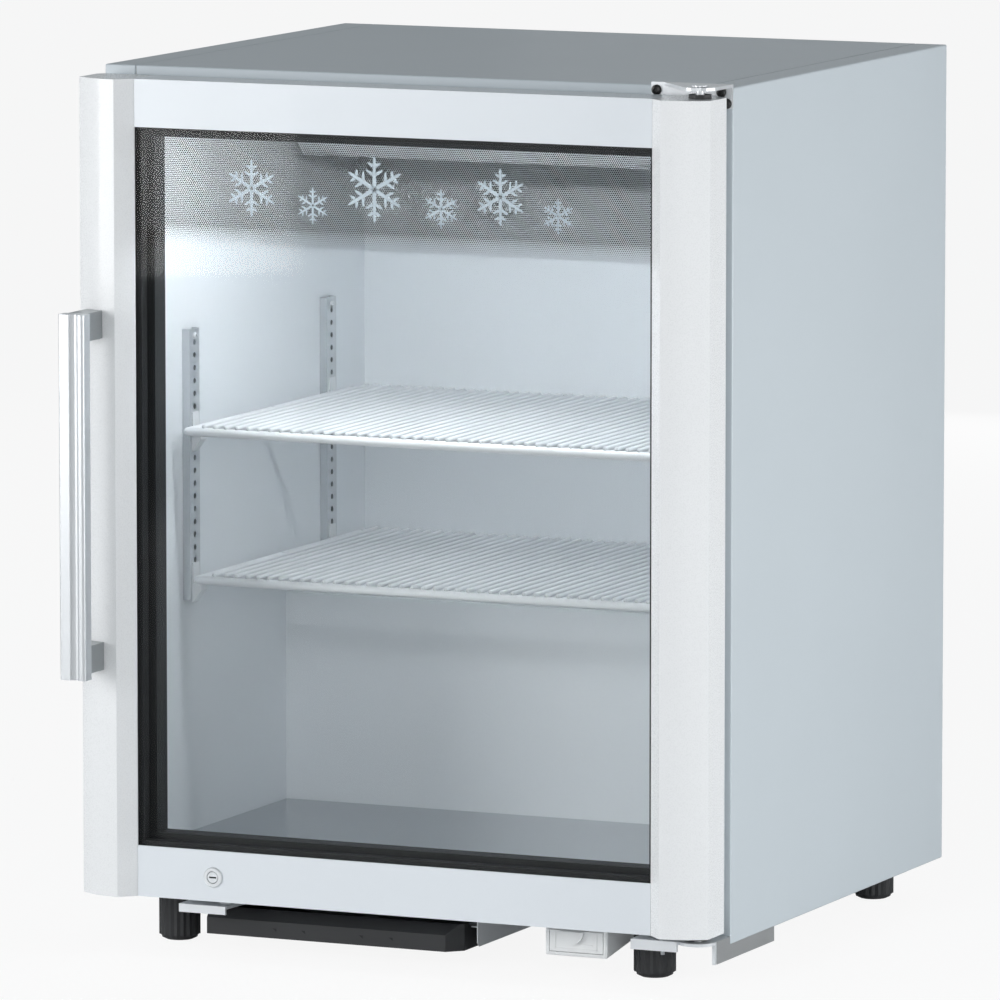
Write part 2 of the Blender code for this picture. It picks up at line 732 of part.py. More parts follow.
def make_compressor(depths, deck, tall):
    """Domed steel shell with a welded belt, hollow and open below."""
    near, middle, far = depths
    radius = (far - near) / 2 - COMPRESSOR_INSET
    x = INNER - COMPRESSOR_SIDE_GAP - radius
    profile = [(radius * 1.05, 0), (radius * 1.05, COMPRESSOR_FOOT), (radius * 0.86, COMPRESSOR_FOOT),
               (radius * 0.94, tall * 0.12), (radius, tall * 0.28), (radius, tall * 0.52),
               (radius * 1.03, tall * 0.53), (radius * 1.03, tall * 0.57), (radius, tall * 0.58),
               (radius * 0.93, tall * 0.80), (radius * 0.70, tall * 0.94), (radius * 0.35, tall)]
    shell = revolve("compressor", profile, (x, middle, deck), "z", 28)
    room = radius * 0.86 - COMPRESSOR_WALL
    cut(shell, cylinder("inside", (x, middle, deck), room, -COMPRESSOR_FOOT, tall * 0.80, sides=28))
    finish(shell, "black")


def stile_outline():
    """Plan of the right stile: inner bevel up to the ridge, then a falling arc to the edge."""
    run = HALF - RIDGE_X
    radius = (run * run + EDGE_FALL * EDGE_FALL) / (2 * EDGE_FALL)
    sweep = math.degrees(math.asin(run / radius))
    crown = arc((RIDGE_X, RIDGE_Y + radius), radius, -90, -90 + sweep, 8)
    outline = [(OPEN_X, DOOR_BACK), (OPEN_X, DOOR_FACE)] + crown
    outline += [(HALF, DOOR_BACK - BACK_CHAMFER), (HALF - BACK_CHAMFER, DOOR_BACK)]
    return outline


def pocket_box(name, side):
    """The rebate behind the front lip that takes the glass and the inner bezel."""
    near = DOOR_FACE + LIP
    x0 = OPEN_X - POCKET
    x1 = OPEN_X + POCKET
    low = OPEN_LOW - POCKET
    high = OPEN_HIGH + POCKET
    pair = sorted((side * x0, side * x1))
    return box(name, (pair[0], near, low), (pair[1], FRONT, high))


def stile_hollow(side):
    """Inside of the hollow extrusion and the slot at its back for the gasket's dart."""
    low = DOOR_BOTTOM + STILE_CAP
    high = DOOR_TOP - STILE_CAP
    back = DOOR_BACK - EXTRUSION
    across = sorted((side * (OPEN_X + POCKET + EXTRUSION), side * (HALF - BACK_CHAMFER - EXTRUSION)))
    hollow = box("hollow", (across[0], DOOR_FACE + EXTRUSION, low), (across[1], back, high))
    middle = side * (HALF - GASKET_INSET - GASKET_WIDTH / 2)
    half = DART_SLOT / 2
    slot = box("slot", (middle - half, back - EXTRUSION, low), (middle + half, FRONT, high))
    return hollow, slot


def rail_hollow(low, high, seal):
    """The same for a rail between two heights, with its gasket slot at the height of the seal."""
    back = DOOR_BACK - EXTRUSION
    half = DART_SLOT / 2
    hollow = box("hollow", (-HALF, DOOR_FACE + EXTRUSION, low + EXTRUSION), (HALF, back, high - EXTRUSION))
    slot = box("slot", (-HALF, back - EXTRUSION, seal - half), (HALF, FRONT, seal + half))
    return hollow, slot


def make_door_frame():
    outline = stile_outline()
    for name, side in (("left_stile", -1), ("right_stile", 1)):
        plan = outline if side > 0 else mirrored(outline)
        stile = extrude(name, plan, "z", DOOR_BOTTOM, DOOR_TOP)
        cut(stile, pocket_box("pocket", side), *stile_hollow(side))
        if side > 0:
            bores = [cylinder("bore", (HINGE_X, HINGE_Y, 0), BUSH_RADIUS + FIT, z - BUSH_SINK, z + BUSH_SINK)
                     for z in (DOOR_BOTTOM, DOOR_TOP)]
            cut(stile, *bores)
        finish(stile, "white")
    reach = OPEN_X - FIT
    step = DOOR_FACE + LIP
    seal = GASKET_INSET + GASKET_WIDTH / 2
    shoulder = OPEN_HIGH + POCKET
    section = [(DOOR_FACE, OPEN_HIGH), (DOOR_FACE, DOOR_TOP), (DOOR_BACK, DOOR_TOP), (DOOR_BACK, shoulder)]
    section += [(step, shoulder), (step, OPEN_HIGH)]
    rail = extrude("top_rail", section, "x", -reach, reach)
    finish(cut(rail, *rail_hollow(shoulder, DOOR_TOP, DOOR_TOP - seal)), "white")
    shoulder = OPEN_LOW - POCKET
    section = [(DOOR_FACE, OPEN_LOW), (DOOR_FACE, DOOR_BOTTOM), (DOOR_BACK, DOOR_BOTTOM)]
    section += [(DOOR_BACK, shoulder), (step, shoulder), (step, OPEN_LOW)]
    rail = extrude("bottom_rail", section, "x", -reach, reach)
    cut(rail, *rail_hollow(DOOR_BOTTOM, shoulder, DOOR_BOTTOM + seal))
    lock_x, lock_z = lock_place()
    body_hole = cylinder("hole", (lock_x, 0, lock_z), LOCK_BODY + FIT, DOOR_FACE - LIP,
                         DOOR_FACE + LOCK_LENGTH + FIT, "y")
    slot_far = DOOR_FACE + LOCK_LENGTH + BOLT_THICK + 3 * FIT
    half = BOLT_WIDTH / 2 + RUN
    slot_low = (lock_x - half, DOOR_FACE + LOCK_LENGTH + FIT / 2, DOOR_BOTTOM - RAIL_BOTTOM)
    slot = box("slot", slot_low, (lock_x + half, slot_far, lock_z + LOCK_CORE + FIT))
    finish(cut(rail, body_hole, slot), "white")


def lock_place():
    return -(HALF - LOCK_X), DOOR_BOTTOM + LOCK_Z


def make_glazing():
    """Two panes, the spacer between them and the black inner bezel that holds them."""
    edge = OPEN_X + POCKET - FIT
    low = OPEN_LOW - POCKET + FIT
    high = OPEN_HIGH + POCKET - FIT
    front = DOOR_FACE + LIP + FIT
    gap_near = front + PANE + FIT
    gap_far = gap_near + PANE_SPACE
    rear = gap_far + FIT
    bezel_near = rear + PANE + FIT
    finish(box("front_glass", (-edge, front, low), (edge, front + PANE, high)), "glass")
    finish(box("rear_glass", (-edge, rear, low), (edge, rear + PANE, high)), "glass")
    outer = (-edge, low, edge, high)
    inner = (-edge + SPACER_WIDTH, low + SPACER_WIDTH, edge - SPACER_WIDTH, high - SPACER_WIDTH)
    finish(ring("glass_spacer", outer, inner, "y", gap_near, gap_far), "black")
    show = POCKET + BEZEL_SHOW
    inner = (-edge + show, low + show, edge - show, high - show)
    finish(ring("inner_bezel", outer, inner, "y", bezel_near, DOOR_BACK), "black")


def make_gasket():
    """Magnetic seal: a rounded bellows section all round the back of the door."""
    near = DOOR_BACK + FIT
    far = FRONT - FIT
    ex = HALF - GASKET_INSET
    low = DOOR_BOTTOM + GASKET_INSET
    high = min(DOOR_TOP, TOP) - GASKET_INSET
    waist = GASKET_WAIST
    mid = (near + far) / 2
    outer = (-ex, low, ex, high)
    inner = (-ex + GASKET_WIDTH, low + GASKET_WIDTH, ex - GASKET_WIDTH, high - GASKET_WIDTH)
    gasket = ring("door_gasket", outer, inner, "y", near, far)
    over = GASKET_OVER
    groove = ring("groove", (-ex - over, low - over, ex + over, high + over),
                  (-ex + waist, low + waist, ex - waist, high - waist), "y", mid - waist, mid + waist)
    finish(cut(gasket, groove), "black")


def make_handle():
    """Pull bar with a scooped front, on two blocks shaped to the stile's curve."""
    right = HANDLE_MID + HANDLE_WIDTH / 2
    left = HANDLE_MID - HANDLE_WIDTH / 2
    back = RIDGE_Y - STANDOFF
    front = back - HANDLE_THICK
    scoop_left = left + SCOOP_LEFT
    scoop_right = left + SCOOP_RIGHT
    sag = SCOOP_SAG
    half = (scoop_right - scoop_left) / 2
    radius = (half * half + sag * sag) / (2 * sag)
    sweep = math.degrees(math.asin(half / radius))
    scoop = arc(((scoop_left + scoop_right) / 2, front - radius + sag), radius, 90 + sweep, 90 - sweep, 6)
    edge = HANDLE_EDGE
    corner = arc((right - HANDLE_ROUND, front + HANDLE_ROUND), HANDLE_ROUND, -90, 0, 4)
    plan = [(left, back - 2 * edge), (left, front + edge), (left + edge, front)]
    plan += scoop + corner + [(right, back - edge), (right - edge, back), (left + 2 * edge, back)]
    low = BASE + HANDLE_LOW
    high = low + HANDLE_LENGTH
    finish(extrude("handle_bar", plan, "z", low, high), "steel")
    reach = STANDOFF_WIDTH / 2
    x0 = HANDLE_MID - reach
    x1 = HANDLE_MID + reach
    seat = [stile_front(x0 + (x1 - x0) * i / 6) for i in range(7)]
    block = [(x1, back + FIT), (x0, back + FIT)] + seat
    finish(extrude("upper_standoff", block, "z", high - STANDOFF_HEIGHT, high), "steel")
    lower = low + STANDOFF_INSET
    finish(extrude("lower_standoff", block, "z", lower, lower + STANDOFF_HEIGHT), "steel")


def stile_front(x):
    """Seat point just in front of the left stile's curve."""
    run = HALF - RIDGE_X
    radius = (run * run + EDGE_FALL * EDGE_FALL) / (2 * EDGE_FALL)
    across = abs(x) - RIDGE_X
    rise = radius - math.sqrt(radius * radius - across * across)
    return x, RIDGE_Y + rise - 2 * FIT


def make_lock():
    """Cylinder lock in the bottom rail: barrel, turning core and the bolt that drops."""
    x, z = lock_place()
    rear = DOOR_FACE + LOCK_LENGTH
    face = DOOR_FACE - FIT
    profile = [(LOCK_RING - RING_BEVEL, face - RING_PROUD), (LOCK_RING, face - RING_PROUD / 2)]
    profile += [(LOCK_RING, face), (LOCK_BODY, face), (LOCK_BODY, rear)]
    barrel = revolve("lock_barrel", profile, (x, 0, z), "y")
    cut(barrel, cylinder("bore", (x, 0, z), LOCK_CORE + RUN, face - LOCK_RING, rear + LOCK_RING, "y"))
    finish(barrel, "zinc")
    nose = face - RING_PROUD + FIT
    core = cylinder("lock_core", (x, 0, z), LOCK_CORE, nose, rear, "y")
    half = KEY_LENGTH / 2
    key_low = (x - half, nose - KEY_HALF, z - KEY_HALF)
    cut(core, box("key", key_low, (x + half, nose + 4 * KEY_HALF, z + KEY_HALF)))
    finish(set_origin(core, (x, nose, z)), "zinc")
    near = rear + FIT
    bolt = box("lock_bolt", (x - BOLT_WIDTH / 2, near, DOOR_BOTTOM + FIT),
               (x + BOLT_WIDTH / 2, near + BOLT_THICK, z - LOCK_CORE))
    finish(bolt, "zinc")


def make_hinges():
    """Folded brackets on the cabinet, their pins and the bushes in the door."""
    make_upper_bracket()
    make_lower_bracket()
    for name, face, up in (("upper_hinge_bush", DOOR_TOP, 1), ("lower_hinge_bush", DOOR_BOTTOM, -1)):
        collar = BUSH_RADIUS + BUSH_COLLAR
        profile = [(BUSH_RADIUS, face - up * (BUSH_SINK - FIT)), (BUSH_RADIUS, face + up * FIT)]
        profile += [(collar, face + up * FIT), (collar, face + up * BUSH_RISE)]
        bush = revolve(name, profile, (HINGE_X, HINGE_Y, 0))
        bore = cylinder("bore", (HINGE_X, HINGE_Y, 0), PIN_RADIUS + RUN, face - FLANGE, face + FLANGE)
        finish(cut(bush, bore), "black")


def make_upper_bracket():
    """Leg on the cabinet's front and a round-nosed plate over the door, with the headed pin."""
    low = TOP + FIT
    high = low + BRACKET
    left = HALF - BRACKET_WIDTH
    leg_low = TOP - LEG_DROP
    leg_far = FRONT - FIT
    tab = HALF - LEG_TAB
    leg = [(left, leg_low + LEG_STEP), (left, high), (HALF, high), (HALF, leg_low), (tab, leg_low)]
    leg += [(tab - LEG_SLANT, leg_low + LEG_STEP)]
    bracket = extrude("upper_hinge_bracket", leg, "y", leg_far - BRACKET, leg_far)
    nose = arc((HINGE_X, HINGE_Y), NOSE_RADIUS, 200, 360, 10)
    plan = [(left + NOSE_LEFT, leg_far)] + nose + [(HALF, leg_far)]
    fuse(bracket, extrude("plate", plan, "z", low, high))
    hole = cylinder("hole", (HINGE_X, HINGE_Y, 0), PIN_RADIUS + FIT, TOP - FLANGE, TOP + FLANGE)
    finish(cut(bracket, hole), "zinc")
    seat = high + FIT
    profile = [(PIN_RADIUS, DOOR_TOP - BUSH_SINK + 4 * FIT), (PIN_RADIUS, seat)]
    profile += [(2 * PIN_RADIUS, seat), (2 * PIN_RADIUS, high + PIN_HEAD)]
    finish(revolve("upper_hinge_pin", profile, (HINGE_X, HINGE_Y, 0)), "zinc")


def make_lower_bracket():
    """Plate under the cabinet with a front lip, a round nose and a side flange, and its pin."""
    high = PAN - FIT
    low = high - BRACKET
    left = HALF - BRACKET_WIDTH
    edge = HALF - SHEET - FIT
    back = FRONT + BRACKET_BACK
    lip_y = HINGE_Y - LIP_SETBACK
    lip_right = HINGE_X - NOSE_RADIUS * 0.9
    plan = [(left, back), (left, lip_y), (lip_right, lip_y)]
    plan += arc((HINGE_X, HINGE_Y), NOSE_RADIUS, 215, 340, 8) + [(edge, HINGE_Y), (edge, back)]
    bracket = extrude("lower_hinge_bracket", plan, "z", low, high)
    flange = box("flange", (edge - BRACKET, HINGE_Y, high - BRACKET_FLANGE), (edge, back, high))
    lip = box("lip", (left, lip_y, high - LIP_DROP), (lip_right, lip_y + BRACKET, high))
    fuse(bracket, flange, lip)
    x, y = foot_places()["front_right"]
    stud_hole = cylinder("hole", (x, y, 0), FOOT_STUD + RUN, BASE - FLANGE, PAN + FLANGE, sides=12)
    pin_hole = cylinder("hole", (HINGE_X, HINGE_Y, 0), PIN_RADIUS + FIT, BASE - FLANGE, PAN + FLANGE)
    x, y = rod_place()
    rod_hole = cylinder("hole", (x, y, 0), ROD_RADIUS + FIT, BASE - FLANGE, PAN + FLANGE, sides=12)
    finish(cut(bracket, stud_hole, pin_hole, rod_hole), "zinc")
    seat = low - FIT
    profile = [(2 * PIN_RADIUS, low - PIN_HEAD), (2 * PIN_RADIUS, seat), (PIN_RADIUS, seat)]
    profile += [(PIN_RADIUS, DOOR_BOTTOM + BUSH_SINK - 4 * FIT)]
    finish(revolve("lower_hinge_pin", profile, (HINGE_X, HINGE_Y, 0)), "zinc")


def rod_place():
    return HALF - BRACKET_WIDTH + ROD_LEFT, HINGE_Y - LIP_SETBACK + BRACKET + ROD_SETBACK


def make_torsion_rod():
    """Closer spring rod: its bent end hooks down through the lower bracket."""
    x, y = rod_place()
    top = DOOR_BOTTOM - 2 * FIT
    drop = cylinder("torsion_rod", (x, y, 0), ROD_RADIUS, PAN - BRACKET - ROD_HANG, top, sides=12)
    end = HINGE_X - BUSH_RADIUS - ROD_END_GAP
    arm = cylinder("arm", (0, y, top - ROD_RADIUS), ROD_RADIUS, x, end, "x", 12)
    finish(fuse(drop, arm), "steel")


def make_strike():
    """Plate under the door with a turned-down lip and a slot for the lock bolt."""
    x, _ = lock_place()
    high = PAN - FIT
    low = high - BRACKET
    right = x + BOLT_WIDTH / 2 + STRIKE_EDGE
    left = right - STRIKE_WIDTH
    near = HINGE_Y - LIP_SETBACK
    back = FRONT + TRAY_SETBACK + TRAY_CHAMFER + STRIKE_BACK
    plan = [(left, near), (right, near), (right + STRIKE_FLARE, back), (left, back)]
    plate = extrude("strike_bracket", plan, "z", low, high)
    lip = box("lip", (left, near, high - STRIKE_LIP), (right, near + BRACKET, high))
    fuse(plate, lip)
    bolt_near = DOOR_FACE + LOCK_LENGTH + FIT
    slot = box("slot", (x - BOLT_WIDTH / 2 - RUN, bolt_near - RUN, BASE - FLANGE),
               (x + BOLT_WIDTH / 2 + RUN, bolt_near + BOLT_THICK + RUN, PAN + FLANGE))
    finish(cut(plate, slot), "zinc")


def make_feet():
    """Fluted levelling feet that turn on a stud in the base pan."""
    top = PAN - BRACKET - 2 * FIT
    for place, (x, y) in foot_places().items():
        outline = []
        for i in range(2 * FOOT_FLUTES):
            angle = math.pi * i / FOOT_FLUTES
            radius = FOOT_RADIUS - (FLUTE_DEPTH if i % 2 else 0)
            outline.append((x + radius * math.cos(angle), y + radius * math.sin(angle)))
        body = extrude(f"{place}_foot", outline, "z", FOOT_RIM, top)
        profile = [(TREAD_RADIUS, 0), (FOOT_RADIUS * 0.86, FOOT_RIM * 0.4)]
        profile += [(FOOT_RADIUS * 0.90, FOOT_RIM * 1.4)]
        tread = revolve("tread", profile, (x, y, 0), "z", 20)
        stud = cylinder("stud", (x, y, 0), FOOT_STUD, top - FOOT_RIM, PAN + STUD_RISE, sides=12)
        fuse(body, tread, stud)
        finish(set_origin(body, (x, y, 0)), "black")


def make_tray():
    """Condensate tray that slides forward in a folded guide under the base pan."""
    left = -HALF + TRAY_LEFT
    right = left + TRAY_WIDTH
    near = FRONT + TRAY_SETBACK
    far = near + TRAY_DEPTH
    guide_high = PAN - FIT
    skin = SHEET
    rim_high = guide_high - STRIKE_LIP - RUN
    low = rim_high - TRAY_HEIGHT
    end = TRAY_CHAMFER
    plan = [(left, near), (right - end, near), (right, near + end), (right, far), (left, far)]
    tray = extrude("drip_tray", plan, "z", low, rim_high)
    wall = TRAY_WALL
    inner = near + TRAY_FRONT
    hollow = [(left + wall, inner), (right - end - wall, inner), (right - wall, inner + end)]
    hollow += [(right - wall, far - wall), (left + wall, far - wall)]
    cut(tray, extrude("inside", hollow, "z", low + wall, rim_high + FLANGE))
    slope = [(near - FIT, rim_high + FIT), (near - FIT, rim_high - TRAY_BEVEL)]
    slope += [(near + TRAY_BEVEL, rim_high + FIT)]
    cut(tray, extrude("bevel", slope, "x", left - TRAY_RIM, right + TRAY_RIM))
    rim_low = rim_high - TRAY_RIM_THICK
    rim_near = near + TRAY_BEVEL
    rims = [box("rim", (left - TRAY_RIM, rim_near, rim_low), (left + wall / 2, far, rim_high)),
            box("rim", (right - wall / 2, rim_near + end, rim_low), (right + TRAY_RIM, far, rim_high))]
    finish(fuse(tray, *rims), "black")
    span_left = left - TRAY_RIM - RUN
    span_right = right + TRAY_RIM + RUN
    shelf_low = rim_low - RUN - skin
    grip = TRAY_RIM - 2 * RUN
    guide_near = near + end + STRIKE_BACK + SEAM
    shelf_high = shelf_low + skin
    roof = guide_high - skin
    outline = [(span_left - skin, guide_high), (span_left - skin, shelf_low), (span_left + grip, shelf_low)]
    outline += [(span_left + grip, shelf_high), (span_left, shelf_high), (span_left, roof)]
    outline += [(span_right, roof), (span_right, shelf_high), (span_right - grip, shelf_high)]
    outline += [(span_right - grip, shelf_low), (span_right + skin, shelf_low)]
    outline += [(span_right + skin, guide_high)]
    finish(extrude("tray_guide", outline, "y", guide_near, far), "zinc")


def make_control_box():
    """Wedge-shaped control housing with a drop-down cover and the thermostat knob behind it."""
    right = HALF - BOX_RIGHT
    left = right - BOX_WIDTH
    near = FRONT - BOX_PROUD
    far = near + BOX_DEPTH
    high = PAN - FIT
    low = high - BOX_HEIGHT
    skin = BOX_SKIN
    section = [(near, low), (near, high), (far, high), (far, low + BOX_TAPER)]
    body = extrude("control_box", section, "x", left, right)
    bevel(body, skin, 2)
    pocket_low = (left + 2 * skin, near - skin, low + 2 * skin)
    cut(body, box("inside", pocket_low, (right - 2 * skin, near + BOX_POCKET, high - skin)))
    finish(body, "white")
    plate_left = left + 2 * skin + RUN
    plate_right = right - 2 * skin - RUN
    plate_low = low + 2 * skin + RUN
    plate_high = high - skin - RUN
    plate = box("control_cover", (plate_left, near, plate_low), (plate_right, near + COVER_PLATE, plate_high))
    tab_x = (plate_left + plate_right) / 2 - TAB_OFFSET
    tab = arc((tab_x, plate_high - RUN), TAB_RADIUS, 180, 360, 10)
    fuse(plate, extrude("tab", tab, "y", near - TAB_PROUD, near + COVER_PLATE / 2))
    finish(set_origin(plate, (0, near, plate_low)), "white")
    make_knob((left + right) / 2, (plate_low + plate_high) / 2, near)


def make_knob(x, z, box_near):
    """Thermostat knob on a short neck at the back of the control box, with a pointer groove."""
    far = box_near + BOX_POCKET - FIT
    near = box_near + COVER_PLATE + KNOB_GAP
    neck = far - KNOB_GAP
    edge = 2 * SHEET
    profile = [(KNOB_RADIUS - SHEET, near), (KNOB_RADIUS, near + edge), (KNOB_RADIUS, neck)]
    profile += [(KNOB_NECK, neck), (KNOB_NECK, far)]
    knob = revolve("thermostat_knob", profile, (x, 0, z), "y", 20)
    mark_low = (x - KNOB_MARK, near - SHEET, z)
    cut(knob, box("mark", mark_low, (x + KNOB_MARK, near + 2 * KNOB_MARK, z + KNOB_RADIUS - SHEET)))
    finish(set_origin(knob, (x, near, z)), "black")


def make_power_inlet():
    """Socket for the supply lead, in the rear grille's lower corner."""
    x = HALF - FLANGE - INLET_SIDE
    z = PAN + SHEET + INLET_RISE
    half = INLET_HALF_WIDTH
    tall = INLET_HALF_HEIGHT
    wall = INLET_WALL
    near = BACK - INLET_DEPTH
    hole_low = (x - half - FIT, BACK - FLANGE, z - tall - FIT)
    cut(PARTS["rear_grille"], box("hole", hole_low, (x + half + FIT, BACK + FLANGE, z + tall + FIT)))
    body = box("power_inlet", (x - half, near, z - tall), (x + half, BACK, z + tall))
    socket_low = (x - half + wall, near + INLET_BACK, z - tall + wall)
    cut(body, box("socket", socket_low, (x + half - wall, BACK + FLANGE, z + tall - wall)))
    finish(body, "black")


def main():
    clear_scene()
    make_side_panel("left_side_panel", -1)
    make_side_panel("right_side_panel", 1)
    make_top_panel()
    make_rear_panel()
    make_rear_grille()
    make_base_pan()
    make_liner()
    make_insulation()
    make_front_frame()
    make_floor_plate()
    make_pilasters()
    shelves = zip(("lower_shelf", "upper_shelf"), SHELF_HEIGHTS, SHELF_FRONTS, SHELF_REAR_GAPS)
    for name, height, front, rear_gap in shelves:
        make_shelf(name, height, front, rear_gap)
    make_lamp()
    make_evaporator()
    make_machine()
    make_door_frame()
    make_glazing()
    make_gasket()
    make_handle()
    make_lock()
    make_hinges()
    make_torsion_rod()
    make_strike()
    make_feet()
    make_tray()
    make_control_box()
    make_power_inlet()


main()
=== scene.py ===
"""Looks of the glass door merchandiser: finishes, wire shelves, glass print, stage and camera."""
import math

import bmesh
import bpy
from mathutils import Matrix, Vector

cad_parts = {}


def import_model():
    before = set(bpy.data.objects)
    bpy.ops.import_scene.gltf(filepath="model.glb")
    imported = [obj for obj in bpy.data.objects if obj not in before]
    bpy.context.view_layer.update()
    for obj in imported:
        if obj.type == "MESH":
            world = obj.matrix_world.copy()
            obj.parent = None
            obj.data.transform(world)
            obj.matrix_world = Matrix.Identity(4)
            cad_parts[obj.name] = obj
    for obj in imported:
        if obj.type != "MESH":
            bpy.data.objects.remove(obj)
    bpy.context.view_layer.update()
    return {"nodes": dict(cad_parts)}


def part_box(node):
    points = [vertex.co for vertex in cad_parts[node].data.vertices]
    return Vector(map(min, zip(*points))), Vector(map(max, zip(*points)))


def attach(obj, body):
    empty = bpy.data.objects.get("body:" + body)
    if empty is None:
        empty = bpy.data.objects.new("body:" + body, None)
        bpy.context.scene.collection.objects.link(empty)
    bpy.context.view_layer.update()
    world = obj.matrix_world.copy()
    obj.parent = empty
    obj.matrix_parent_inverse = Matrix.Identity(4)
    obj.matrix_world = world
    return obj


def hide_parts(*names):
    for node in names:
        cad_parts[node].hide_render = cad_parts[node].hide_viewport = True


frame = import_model()
NODES = frame["nodes"]

# View of the photograph: angles in degrees, lengths in metres, sensor and lens in millimetres
VIEW_YAW = 24.15
VIEW_PITCH = 7.41
VIEW_DISTANCE = 9.444
VIEW_AIM = (-0.0361, 0.0648, 0.4161)
SENSOR = 36.0
LENS = 342.8
FAR_CLIP = 100

# Grain of the finishes
EVEN = (1, 1, 1)
SLOW_SCALE = 7.0
SLOW_DETAIL = 2.0
GRAIN_DEPTH = 0.0004
ROUGHNESS_SPREAD = 0.08
ROUGHNESS_FLOOR = 0.02
SHARP_ANGLE = 40

# Glass and lamp
GLASS_IOR = 1.45
GLASS_GLOSS = 0.14
LAMP_GLOW = (46.0, 50.0)

# Wire shelves, with the sizes of the solids
BAR_RADIUS = 0.0044
BAR_LIFT = BAR_RADIUS * 0.89
SIDE_BAR_RADIUS = BAR_RADIUS * 0.95
WIRE_RADIUS = 0.0024
WIRE_PITCH = 0.0119
BAR_FACETS = 16
WIRE_FACETS = 12
DOME_ANGLES = (20, 55, 90)

# Pan-head screw: radius and height as shares of the head's radius
SCREW_PROFILE = ((1.0, 0.0), (1.0, 0.25), (0.82, 0.55), (0.45, 0.66), (0.36, 0.40))
SCREW_FACETS = 20

# Screws of the upper hinge and of the pilasters
HINGE_LEG = 0.0030
HINGE_SCREW = 0.0050
HINGE_SCREW_INSET = 0.0055
HINGE_SCREW_DROP = 0.0075
HINGE_SCREW_LIFT = 0.005
PILASTER_DEPTH = 0.0080
PILASTER_MARGIN = 0.0002
PILASTER_SCREW = 0.0034
PILASTER_SCREW_INSET = 0.007

# Rounded front of the stiles, with the sizes of the solids
RIDGE_OFFSET = 0.0146
EDGE_FALL = 0.0155
CROWN_SKIN = 0.0001
CROWN_STEPS = 40

# Printed band on the glass, inside the spacer
PRINT_HEIGHT = 0.106
PRINT_FADE = 0.018
DOT_PITCH = 0.0021
DOT_RADIUS = 0.37
SPACER_WIDTH = 0.012
PRINT_GAP = 0.0006
FILM_STEP = 0.001
FILM_THICK = 0.0002

# Frost crystals: place across the band, rise from its middle line, and size
CRYSTALS = (
    (-0.150, 0.004, 0.026),
    (-0.085, -0.010, 0.017),
    (-0.020, 0.008, 0.030),
    (0.050, -0.008, 0.018),
    (0.112, 0.006, 0.026),
    (0.172, -0.010, 0.016),
)
CRYSTAL_LINE = 0.52
CRYSTAL_ARMS = 6
ARM_WIDTH = 0.072
ARM_START = 0.06
ARM_TAPER = 0.6
BRANCHES = ((0.45, 0.30), (0.72, 0.22))
BRANCH_WIDTH = 0.8

# Snap marks on the tray's front
MARK_PLACES = (-0.148, -0.117, -0.055, -0.023)
MARK_SIZE = 0.0040
MARK_SLOPE = 0.8
MARK_RISE = 0.010
MARK_PROUD = 0.0004
MARK_THICK = 0.0006

# Plates on the underside
PLATE_GAP = 0.0001
SKIRT_LIFT = 0.003
SKIRT_CUT = 0.004
SKIRT_THICK = 0.0008
FLANGE_START = 0.012
FLANGE_SKIN = 0.0004

# Keyway of the lock: a near-black block, painted shade for the dark inside of the slot
KEYWAY_HALF_WIDTH = 0.0037
KEYWAY_HALF_HEIGHT = 0.0007
KEYWAY_INSET = 0.0003
KEYWAY_DEPTH = 0.0020

# Lines on the control cover
COVER_LIP = 0.0035
LINE_PROUD = 0.0005
LINE_SIDE = 0.006
LINE_BOTTOM = 0.003
LINE_TOP = 0.002
LINE_WIDTH = 0.0006
LINE_THICK = 0.0006
FINGER_FAR = 0.019
FINGER_NEAR = 0.005
FINGER_LIFT = 0.004
FINGER_HEIGHT = 0.0012

# Copper lines of the machine compartment
PIPE_ROW = 0.025
PIPE_SINK = 0.002
DISCHARGE_RADIUS = 0.003
DISCHARGE_DROP = 0.030
DISCHARGE_BEND = 0.030
DISCHARGE_FALL = 0.010
DISCHARGE_SHIFT = 0.010
STUB_SINK = 0.004
STUB_OFFSET = 0.015
STUB_LEAN = 0.005
STUB_RISE = 0.020
LIQUID_RADIUS = 0.0025
LIQUID_LIFT = 0.040
LIQUID_REACH = 0.040
LIQUID_TURN = 0.070
LIQUID_SHIFT = 0.012
LIQUID_CLIMB = 0.050
PIPE_ROUNDNESS = 3

# Stage and world
FLOOR_SIZE = 30.0
FLOOR_DROP = 0.0005
FLOOR_COLOUR = (0.86, 0.86, 0.86)
FLOOR_GLOW = 0.90
HORIZON = (0.62, 0.64, 0.66)
ZENITH = (0.16, 0.18, 0.19)
ZENITH_HEIGHT = 0.7

# Soft lights: name, place, size and power, all turned to one aim
LIGHT_AIM = (0, 0, 0.43)
LIGHTS = (
    ("key", (-2.2, -2.7, 1.0), (1.8, 1.4), 45),
    ("front_fill", (1.1, -3.4, 1.4), (2.0, 1.2), 20),
    ("side_fill", (2.1, -0.2, 0.6), (1.0, 1.0), 17),
    ("rear_fill", (-0.8, 4.2, 0.6), (2.0, 1.0), 10),
    ("left_fill", (-3.4, 0.8, 1.5), (1.4, 1.2), 12),
)


def link(tree, a, b):
    tree.links.new(a, b)


def new(tree, kind, **values):
    """Add a node and set its properties."""
    node = tree.nodes.new(kind)
    for key, value in values.items():
        setattr(node, key, value)
    return node


def nodes_of(name):
    """A new material, its tree and its Principled shader."""
    made = bpy.data.materials.new(name)
    made.use_nodes = True
    tree = made.node_tree
    return made, tree, tree.nodes["Principled BSDF"]


def bare_material(name):
    """A new material and its tree, with no shader yet."""
    made, tree, shader = nodes_of(name)
    tree.nodes.remove(shader)
    return made, tree


